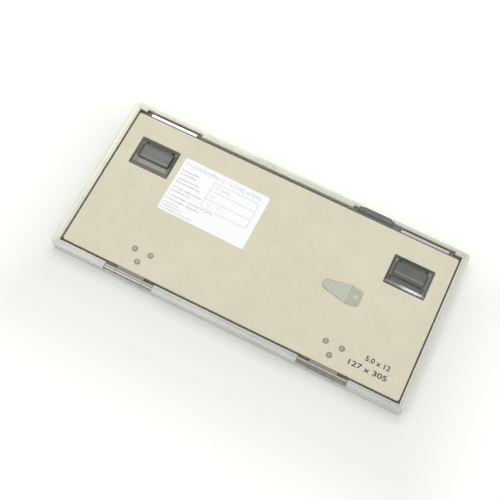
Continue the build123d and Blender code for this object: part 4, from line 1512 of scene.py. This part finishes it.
# ---------------------------------------------------------------- card clip and lift tab
@dataclass(frozen=True)
class CardClip:
    """The stamped clip that holds a card: a leaf with a pressed field, its riveted base, the rivet."""

    tip_share: float = 0.36
    tip_radius: float = 3.1
    heel_radius: float = 2.5
    tilt: float = 2.0
    field_inset: float = 1.0
    field_depth: float = 0.16
    edge: float = 0.17

    def build(self, finishes: FinishLibrary) -> None:
        """Builds and dresses the leaf, the base and the rivet.

        Args:
            finishes: Every finish.
        """
        leaf_slot = finishes["clip_zinc"]
        self.leaf().hand_over(Body.CARD_CLIP, Slot.CLIP_STEEL, leaf_slot, ["card_clip_leaf"])
        self.base().hand_over(Body.LID, Slot.CLIP_STEEL, finishes["clip_base_zinc_painted_shade"], ["card_clip_base"])
        self.rivet().hand_over(Body.LID, Slot.RIVET_METAL, finishes["clip_rivet_zinc"], ["card_clip_rivet"])

    def leaf(self) -> Workpiece:
        """Stamps the leaf: narrowed to a round tip, with a shallow field pressed into it.

        Returns:
            The leaf.
        """
        low, high = span("card_clip_leaf")
        seat = span("card_clip_base")[0].z
        thickness = span("card_clip_base")[1].z - seat
        leaf = Workpiece.block("clip_leaf", (low.x, low.y, seat), (high.x, high.y, seat + thickness))
        with leaf.edit():
            leaf.pick(Pick.CORNERS, lambda c: abs(c.co.x - low.x) < HAIR)
            middle = ((low.x + high.x) / 2, (low.y + high.y) / 2, seat)
            bpy.ops.transform.resize(value=(1, self.tip_share, 1), center_override=middle)
            leaf.bevel(lambda e: upright(e) and e.verts[0].co.x < high.x - 1, self.tip_radius, 8)
            leaf.pick(Pick.FACES, level_at(seat + thickness))
            bpy.ops.mesh.inset(thickness=self.field_inset)
            bpy.ops.mesh.inset(thickness=0.25)
            bpy.ops.transform.translate(value=(0, 0, -self.field_depth))
            bpy.ops.mesh.select_all(action="SELECT")
            bpy.ops.transform.rotate(
                value=-math.radians(self.tilt), orient_axis="Y", center_override=(high.x, middle[1], seat)
            )
        leaf.soften(self.edge, 3, 40.0)
        return leaf

    def base(self) -> Workpiece:
        """Stamps the base: narrower behind, with a bend groove along the leaf and a hole for the rivet.

        Returns:
            The base.
        """
        low, high = span("card_clip_base")
        rivet_low, rivet_high = span("card_clip_rivet")
        base = Workpiece.block("clip_base", low, high)
        heel = (high.y - low.y) / 2
        with base.edit():
            base.pick(Pick.CORNERS, lambda c: abs(c.co.x - high.x) < HAIR)
            middle = ((low.x + high.x) / 2, (low.y + high.y) / 2, low.z)
            bpy.ops.transform.resize(value=(1, 7.2 / heel, 1), center_override=middle)
            base.bevel(lambda e: upright(e) and e.verts[0].co.x > low.x + 1, self.heel_radius, 6)
        place = (rivet_low + rivet_high) / 2
        hole = Workpiece.rod("hole", place, 1.25, 8.0, "Z", 32)
        base.combine(hole, "DIFFERENCE")
        groove = Workpiece.rod("groove", (low.x + 1.4, middle[1], high.z + 0.75), 0.9, 60.0, "Y", 40)
        base.combine(groove, "DIFFERENCE")
        base.soften(self.edge, 2, 40.0)
        return base

    def rivet(self) -> Workpiece:
        """Turns the clip's rivet, with a low domed head.

        Returns:
            The rivet.
        """
        low, high = span("card_clip_rivet")
        middle = (low + high) / 2
        seat = span("card_clip_base")[1].z
        head_radius = (high.x - low.x) / 2
        rivet = Workpiece.rod("clip_rivet", middle, 1.2, high.z - low.z, "Z", 40)
        centre = (middle.x, middle.y, 0)
        with rivet.edit():
            bpy.ops.mesh.select_all(action="SELECT")
            bpy.ops.mesh.bisect(plane_co=(0, 0, seat), plane_no=(0, 0, 1))
            rivet.pick(Pick.CORNERS, lambda c: c.co.z > seat - HAIR)
            grow = head_radius / 1.2
            bpy.ops.transform.resize(value=(grow, grow, 1), center_override=centre)
            rivet.bevel(level_at(high.z), 0.3, 4)
            rivet.pick(Pick.FACES, level_at(high.z))
            bpy.ops.mesh.inset(thickness=1.1)
            bpy.ops.mesh.inset(thickness=0.2)
            bpy.ops.transform.translate(value=(0, 0, -0.3))
        rivet.smooth(40)
        return rivet


@dataclass(frozen=True)
class LiftTab:
    """The moulded tab that the lid is lifted by: a flat root and a rounded pad in the rail's gap."""

    root_thickness: float = 1.0
    taper: float = 2.4
    corner: float = 2.6
    brow: float = 0.55
    dish: float = 0.22

    def build(self, finishes: FinishLibrary) -> None:
        """Builds and dresses the tab.

        Args:
            finishes: Every finish.
        """
        low, high = span("lift_tab")
        pad_edge = span("frame_rail_rear")[1].y - self.pad_depth()
        root = Workpiece.block("lift_tab_moulding", low, (high.x, pad_edge + 1, low.z + self.root_thickness))
        pad = Workpiece.block("pad", (low.x, pad_edge, low.z), high)
        middle = ((low.x + high.x) / 2, high.y, low.z)
        with pad.edit():
            pad.pick(Pick.CORNERS, lambda c: abs(c.co.y - high.y) < HAIR)
            share = 1 - 2 * self.taper / (high.x - low.x)
            bpy.ops.transform.resize(value=(share, 1, 1), center_override=middle)
            pad.bevel(lambda e: upright(e) and e.verts[0].co.y > high.y - HAIR, self.corner, 6)
            pad.bevel(
                lambda e: level_at(high.z)(e) and max(c.co.y for c in e.verts) > pad_edge + HAIR, self.brow, 4
            )
        width = high.y - pad_edge
        radius = (width**2 / 4 + self.dish**2) / (2 * self.dish)
        hollow = Workpiece.rod(
            "hollow",
            (middle[0], (high.y + pad_edge) / 2 - 0.4, high.z - self.dish + radius),
            radius,
            high.x - low.x - 9,
            "X",
            180,
        )
        pad.combine(hollow, "DIFFERENCE")
        root.combine(pad, "UNION")
        root.soften(0.12, 2, 50.0)
        root.hand_over(Body.LID, Slot.TAB_PLASTIC, finishes["tab_grained"], ["lift_tab"])

    @staticmethod
    def pad_depth() -> float:
        """How far in from the rail's outer face the pad starts."""
        return 5.7


# ---------------------------------------------------------------- print
@dataclass(frozen=True)
class Line:
    """One printed line on the label: how far down, from where to where, and its characters."""

    down: float
    start: float
    end: float
    words: str
    height: float = 1.35


class Print:
    """The ink on the label and on the lid: plain numbers and ruled lines that name nobody."""

    turn = -1.1
    length = 85.5
    width = 56.0
    film = 0.01
    header = Line(7.0, 2.6, 78.6, "0123456789012 / 12345 67890", 3.7)
    lines = (
        Line(13.2, 2.4, 19.2, "012345678901"),
        Line(16.9, 2.6, 18.3, "01234 5678901"),
        Line(22.0, 2.4, 23.6, "012345678 901234"),
        Line(25.8, 2.4, 26.7, "0123 45 678901234"),
        Line(31.4, 2.5, 30.8, "012 345 67890123456"),
        Line(35.2, 2.0, 21.1, "0123456789 012"),
        Line(40.0, 2.2, 46.4, "0 1234567890 12345678 90123456"),
        Line(44.0, 1.9, 35.3, "0 1234 5678901 2345678901"),
        Line(48.1, 1.9, 16.3, "0123 456 789", 1.1),
        Line(50.9, 2.1, 21.6, "012345678 90123 4", 1.1),
        Line(53.9, 1.8, 33.2, "012 34567890123 456 78901", 1.1),
    )
    faint = (
        Line(15.6, 36.6, 41.0, "012", 2.6),
        Line(15.6, 43.4, 52.0, "3456", 2.6),
        Line(24.6, 36.4, 41.2, "012", 1.6),
        Line(33.6, 38.0, 40.4, "0", 1.8),
        Line(33.6, 48.6, 50.4, "7", 2.4),
    )
    table = (33.6, 10.2, 79.0, 37.2)
    rules = (18.9, 28.0)
    rule_width = 0.42

    def build(self, finishes: FinishLibrary) -> None:
        """Prints the label and the film size.

        Args:
            finishes: Every finish.
        """
        low, high = span("record_label")
        self.middle = (low + high) / 2
        self.level = high.z + self.film
        self.on_label("label_header", [self.header], 0.0, finishes["ink_blue"])
        self.on_label("label_lines", self.lines, 0.0, finishes["ink_dark"])
        self.on_label("label_entries", self.faint, 0.0, finishes["ink_grey"])
        self.ruled_table().hand_over(Body.LID, Slot.LABEL_PAPER, finishes["ink_grey"])
        self.film_size(finishes["ink_size"])

    def at(self, along: float, down: float) -> Vector:
        """Finds a place on the label.

        Args:
            along: How far from its left edge.
            down: How far from its upper edge.

        Returns:
            The place in the cassette's frame.
        """
        turned = Matrix.Rotation(math.radians(self.turn), 3, "Z")
        offset = turned @ Vector((along - self.length / 2, self.width / 2 - down, 0))
        return Vector((self.middle.x + offset.x, self.middle.y + offset.y, self.level))

    def on_label(self, name: str, lines: Sequence[Line], weight: float, ink: bpy.types.Material) -> None:
        """Prints lines of characters on the label, as one piece.

        Args:
            name: The piece's name.
            lines: What it holds.
            weight: How bold it is.
            ink: Its ink.
        """
        printed = []
        for line in lines:
            words = Workpiece.lettering(name, line.words, (line.end - line.start, line.height), weight)
            words.place(self.at(line.start, line.down), self.turn)
            printed.append(words)
        if len(printed) > 1:
            printed[0].join(printed[1:])
        printed[0].hand_over(Body.LID, Slot.LABEL_PAPER, ink)

    def ruled_table(self) -> Workpiece:
        """Rules the box of three rows, its outer corners rounded.

        Returns:
            The rules, as one piece.
        """
        left, top, right, bottom = self.table
        half = self.rule_width / 2
        height = self.film

        def slab(name: str, low: tuple[float, float], high: tuple[float, float]) -> Workpiece:
            return Workpiece.block(name, (low[0], low[1], 0), (high[0], high[1], height))

        outer = slab("label_table", (left - half, -bottom - half), (right + half, -top + half))
        inner = Workpiece.block("inner", (left + half, -bottom + half, -1), (right - half, -top - half, 1))
        for piece, radius in ((outer, 2.0), (inner, 2.0 - self.rule_width)):
            with piece.edit():
                piece.bevel(upright, radius, 5)
        outer.combine(inner, "DIFFERENCE")
        rules = [slab("rule", (left, -down - half), (right, -down + half)) for down in self.rules]
        outer.join(rules)
        corner = self.at(0, 0)
        outer.place((corner.x, corner.y, self.level - height), self.turn)
        return outer

    def film_size(self, ink: bpy.types.Material) -> None:
        """Prints the film's size on the lid, in plain numbers.

        Args:
            ink: The ink.
        """
        upper = Workpiece.lettering("film_size", "5.0 x 12", (22.6, 4.9), 0.02)
        face = span("lid_panel")[1].z + 2 * self.film
        upper.place((120.7, -51.6, face))
        lower = Workpiece.lettering("film_size", "127 x 305", (35.2, 5.0), 0.02)
        lower.place((108.7, -61.0, face))
        upper.join([lower])
        upper.hand_over(Body.LID, Slot.LID_PAINT, ink)


# ---------------------------------------------------------------- studio
@dataclass(frozen=True)
class Lamp:
    """One soft lamp, aimed at the cassette."""

    name: str
    place: Point
    size: tuple[float, float]
    radiance: float
    mirrored: bool = True

    def hang(self) -> None:
        """Hangs the lamp in the scene."""
        light = bpy.data.lights.new(self.name, "AREA")
        light.shape = "RECTANGLE"
        light.size = self.size[0] * MM
        light.size_y = self.size[1] * MM
        light.energy = self.radiance * math.pi * light.size * light.size_y
        lamp = bpy.data.objects.new(self.name, light)
        bpy.context.scene.collection.objects.link(lamp)
        lamp.location = Vector(self.place) * MM
        lamp.rotation_euler = Vector(self.place).to_track_quat("Z", "Y").to_euler()
        lamp.visible_glossy = self.mirrored


@dataclass(frozen=True)
class Pane:
    """A bright patch of the room, with soft edges, that only shows in reflections."""

    way: Point
    radius: float
    softness: float
    light: float

    def mask(self, graph: Graph, way: Any) -> Any:
        """Marks the patch in the world.

        Args:
            graph: The world's nodes.
            way: The direction that a ray looks in.

        Returns:
            The mask's socket.
        """
        middle = tuple(Vector(self.way).normalized())
        along = graph.node("ShaderNodeVectorMath", {0: way, 1: middle}, operation="DOT_PRODUCT")
        inner, outer = (math.cos(math.radians(self.radius + s)) for s in (0.0, self.softness))
        return graph.ramp(along.outputs["Value"], outer, inner)


@dataclass(frozen=True)
class Studio:
    """A white table in a white room, its lamps, and a camera over the near long side."""

    lamps: tuple[Lamp, ...]
    panes: tuple[Pane, ...]
    camera_place: Point = (83.4, -288.9, 756.8)
    camera_target: Point = (-9.3, -6.7, 11.0)
    camera_roll: float = 8.51
    lens: float = 65.93
    room_light: float = 0.83
    horizon: float = 0.85
    ceiling_left: float = 0.90
    ceiling_right: float = 0.72
    figure: float = 0.22
    floor_size: float = 12000.0
    floor_colour: Colour = (247, 248, 243)
    # How much the floor glows far off, and the box and fade of the painted pool of shade near the cassette.
    floor_lift: float = 0.16
    shade_reach: Point = (178.0, 84.0, 0.0)
    shade_middle: Point = (8.0, -44.0, 0.0)
    shade_fade: float = 70.0

    def build(self) -> None:
        """Sets up the floor, the light and the camera."""
        self.set_room()
        self.set_floor()
        for lamp in self.lamps:
            lamp.hang()
        self.set_camera()
        bpy.context.scene.view_settings.view_transform = "Standard"

    def set_room(self) -> None:
        """Makes the world: white to the camera, even as light, and a room to what reflects it."""
        world = bpy.data.worlds.new("white_room")
        bpy.context.scene.world = world
        world.use_nodes = True
        graph = Graph(world.node_tree)
        graph.tree.nodes.clear()
        ray = graph.node("ShaderNodeTexCoord").outputs["Generated"]
        way = graph.axes(ray)
        ceiling = graph.ramp(way["X"], -0.26, 0.08, self.ceiling_left, self.ceiling_right)
        walls = graph.between(graph.ramp(way["Z"], 0.3, 0.6), self.horizon, ceiling)
        aside = graph.maths("ABSOLUTE", graph.maths("SUBTRACT", way["X"], 0.05))
        figure = graph.product(
            graph.ramp(aside, 0.12, 0.18, 1.0, 0.0),
            graph.ramp(way["Y"], -0.15, -0.3),
            graph.ramp(way["Z"], 0.02, 0.08),
            graph.ramp(way["Z"], 0.66, 0.74, 1.0, 0.0),
        )
        room = graph.between(figure, walls, self.figure)
        for pane in self.panes:
            room = graph.between(pane.mask(graph, ray), room, pane.light)
        rays = graph.node("ShaderNodeLightPath").outputs
        shiny = graph.maths("ADD", rays["Is Glossy Ray"], rays["Is Transmission Ray"])
        light = graph.between(shiny, self.room_light, room)
        strength = graph.between(rays["Is Camera Ray"], light, 1.0)
        background = graph.node("ShaderNodeBackground", {"Color": (1, 1, 1, 1), "Strength": strength})
        graph.node("ShaderNodeOutputWorld", {"Surface": background.outputs[0]})

    def set_floor(self) -> None:
        """Lays the table top: to the camera and in reflections it glows brighter far off than near the cassette, a
        painted pool of shade on top of its real shadow.
        """
        bpy.ops.object.select_all(action="DESELECT")
        bpy.ops.mesh.primitive_plane_add(size=self.floor_size * MM, location=(0, 0, 0))
        floor = bpy.context.object
        floor.name = "table_top"
        material = bpy.data.materials.new("table_white")
        material.use_nodes = True
        graph = Graph(material.node_tree)
        place = graph.node("ShaderNodeTexCoord").outputs["Object"]
        middle = tuple(Vector(self.shade_middle) * MM)
        reach = tuple(Vector(self.shade_reach) * MM)
        aside = graph.node("ShaderNodeVectorMath", {0: place, 1: middle}, operation="SUBTRACT").outputs[0]
        size = graph.node("ShaderNodeVectorMath", {0: aside}, operation="ABSOLUTE").outputs[0]
        past = graph.node("ShaderNodeVectorMath", {0: size, 1: reach}, operation="SUBTRACT").outputs[0]
        outside = graph.node("ShaderNodeVectorMath", {0: past, 1: (0, 0, 0)}, operation="MAXIMUM").outputs[0]
        distance = graph.node("ShaderNodeVectorMath", {0: outside}, operation="LENGTH").outputs["Value"]
        rays = graph.node("ShaderNodeLightPath").outputs
        shiny = graph.maths("ADD", rays["Is Glossy Ray"], rays["Is Transmission Ray"])
        seen = graph.maths("MINIMUM", graph.maths("ADD", rays["Is Camera Ray"], shiny), 1.0)
        # Painted shade: the glow grows with distance from a box about the cassette, so the floor near it stays
        # darker.
        lift = graph.product(seen, graph.ramp(distance, 0.0, self.shade_fade * MM, 0.0, self.floor_lift))
        surface = graph.tree.nodes["Principled BSDF"]
        surface.inputs["Base Color"].default_value = linear(self.floor_colour)
        surface.inputs["Roughness"].default_value = 0.9
        surface.inputs["Specular IOR Level"].default_value = 0.0
        surface.inputs["Emission Color"].default_value = (1, 1, 1, 1)
        graph.tree.links.new(lift, surface.inputs["Emission Strength"])
        floor.data.materials.append(material)

    def set_camera(self) -> None:
        """Puts the camera where the photograph was taken from."""
        data = bpy.data.cameras.new("photo_camera")
        data.lens = self.lens
        camera = bpy.data.objects.new("photo_camera", data)
        bpy.context.scene.collection.objects.link(camera)
        away = Vector(self.camera_place) - Vector(self.camera_target)
        turn = away.to_track_quat("Z", "Y").to_matrix().to_4x4()
        roll = Matrix.Rotation(math.radians(self.camera_roll), 4, "Z")
        camera.matrix_world = Matrix.Translation(Vector(self.camera_place) * MM) @ turn @ roll
        bpy.context.scene.camera = camera


# ---------------------------------------------------------------- the whole cassette
def mitre_offset() -> float:
    """Works out how much further out in X than in Y the mitred joints run, in millimetres."""
    corner = Vector(cad_box[1]) / MM
    return corner.x - corner.y


def main() -> None:
    """Builds the cassette's looks, piece by piece."""
    logging.basicConfig(level=logging.INFO, format="%(message)s")
    finishes = FinishLibrary(EffectLibrary(), mitre_offset())
    for place in ("front", "rear", "left", "right"):
        finishes.dress(f"rail_{place}", f"frame_rail_{place}")
    finishes.dress("key_nylon", "corner_keys")
    finishes.dress("panel_enamel", "entry_panel")
    finishes.dress("phosphor", "front_screen", "back_screen")
    finishes.dress("lid_enamel", "lid_panel")
    finishes.dress("backing_enamel", "backing_plate")
    finishes.dress("lead_sheet", "lead_foil")
    finishes.dress("label_paper", "record_label")
    for side in Side:
        finishes.dress("hinge_barrel", f"hinge_frame_leaf_{side.value}", f"hinge_pin_{side.value}")
        finishes.dress("hinge_leaf", f"hinge_lid_leaf_{side.value}")
        finishes.dress("rivet_zinc", f"hinge_frame_rivets_{side.value}")
    latches = [Latch(Side.LEFT, Body.LATCH_LEFT), Latch(Side.RIGHT, Body.LATCH_RIGHT)]
    rivets = [LidRivets(side) for side in Side]
    for group in (SoftParts(), *latches, *rivets, CardClip(), LiftTab(), Print()):
        group.build(finishes)
    lamps = (
        Lamp("ceiling_panel", (-500.0, 620.0, 1350.0), (380.0, 380.0), 4.5, False),
        Lamp("back_window", (213.0, 1045.0, 1103.0), (300.0, 240.0), 6.0, False),
        Lamp("side_window", (-650.0, -2200.0, 420.0), (800.0, 420.0), 2.6, False),
        Lamp("rear_strip", (0.0, 2200.0, 850.0), (1500.0, 500.0), 2.0, False),
    )
    panes = (
        Pane((-0.244, 0.422, 0.873), 5.0, 5.0, 1.7),
        Pane((-0.27, 0.905, 0.31), 8.0, 4.0, 1.5),
        Pane((-0.25, 0.66, 0.70), 9.0, 5.0, 1.3),
        Pane((0.045, 0.759, 0.649), 1.6, 0.6, 2.5),
        Pane((0.0610, 0.758, 0.6495), 0.6, 0.1, 12.5),
        Pane((-0.24, -0.95, 0.18), 6.0, 4.0, 4.2),
        Pane((0.05, 0.93, 0.36), 10.0, 5.0, 2.0),
    )
    Studio(lamps, panes).build()


if __name__ == "__main__":
    main()
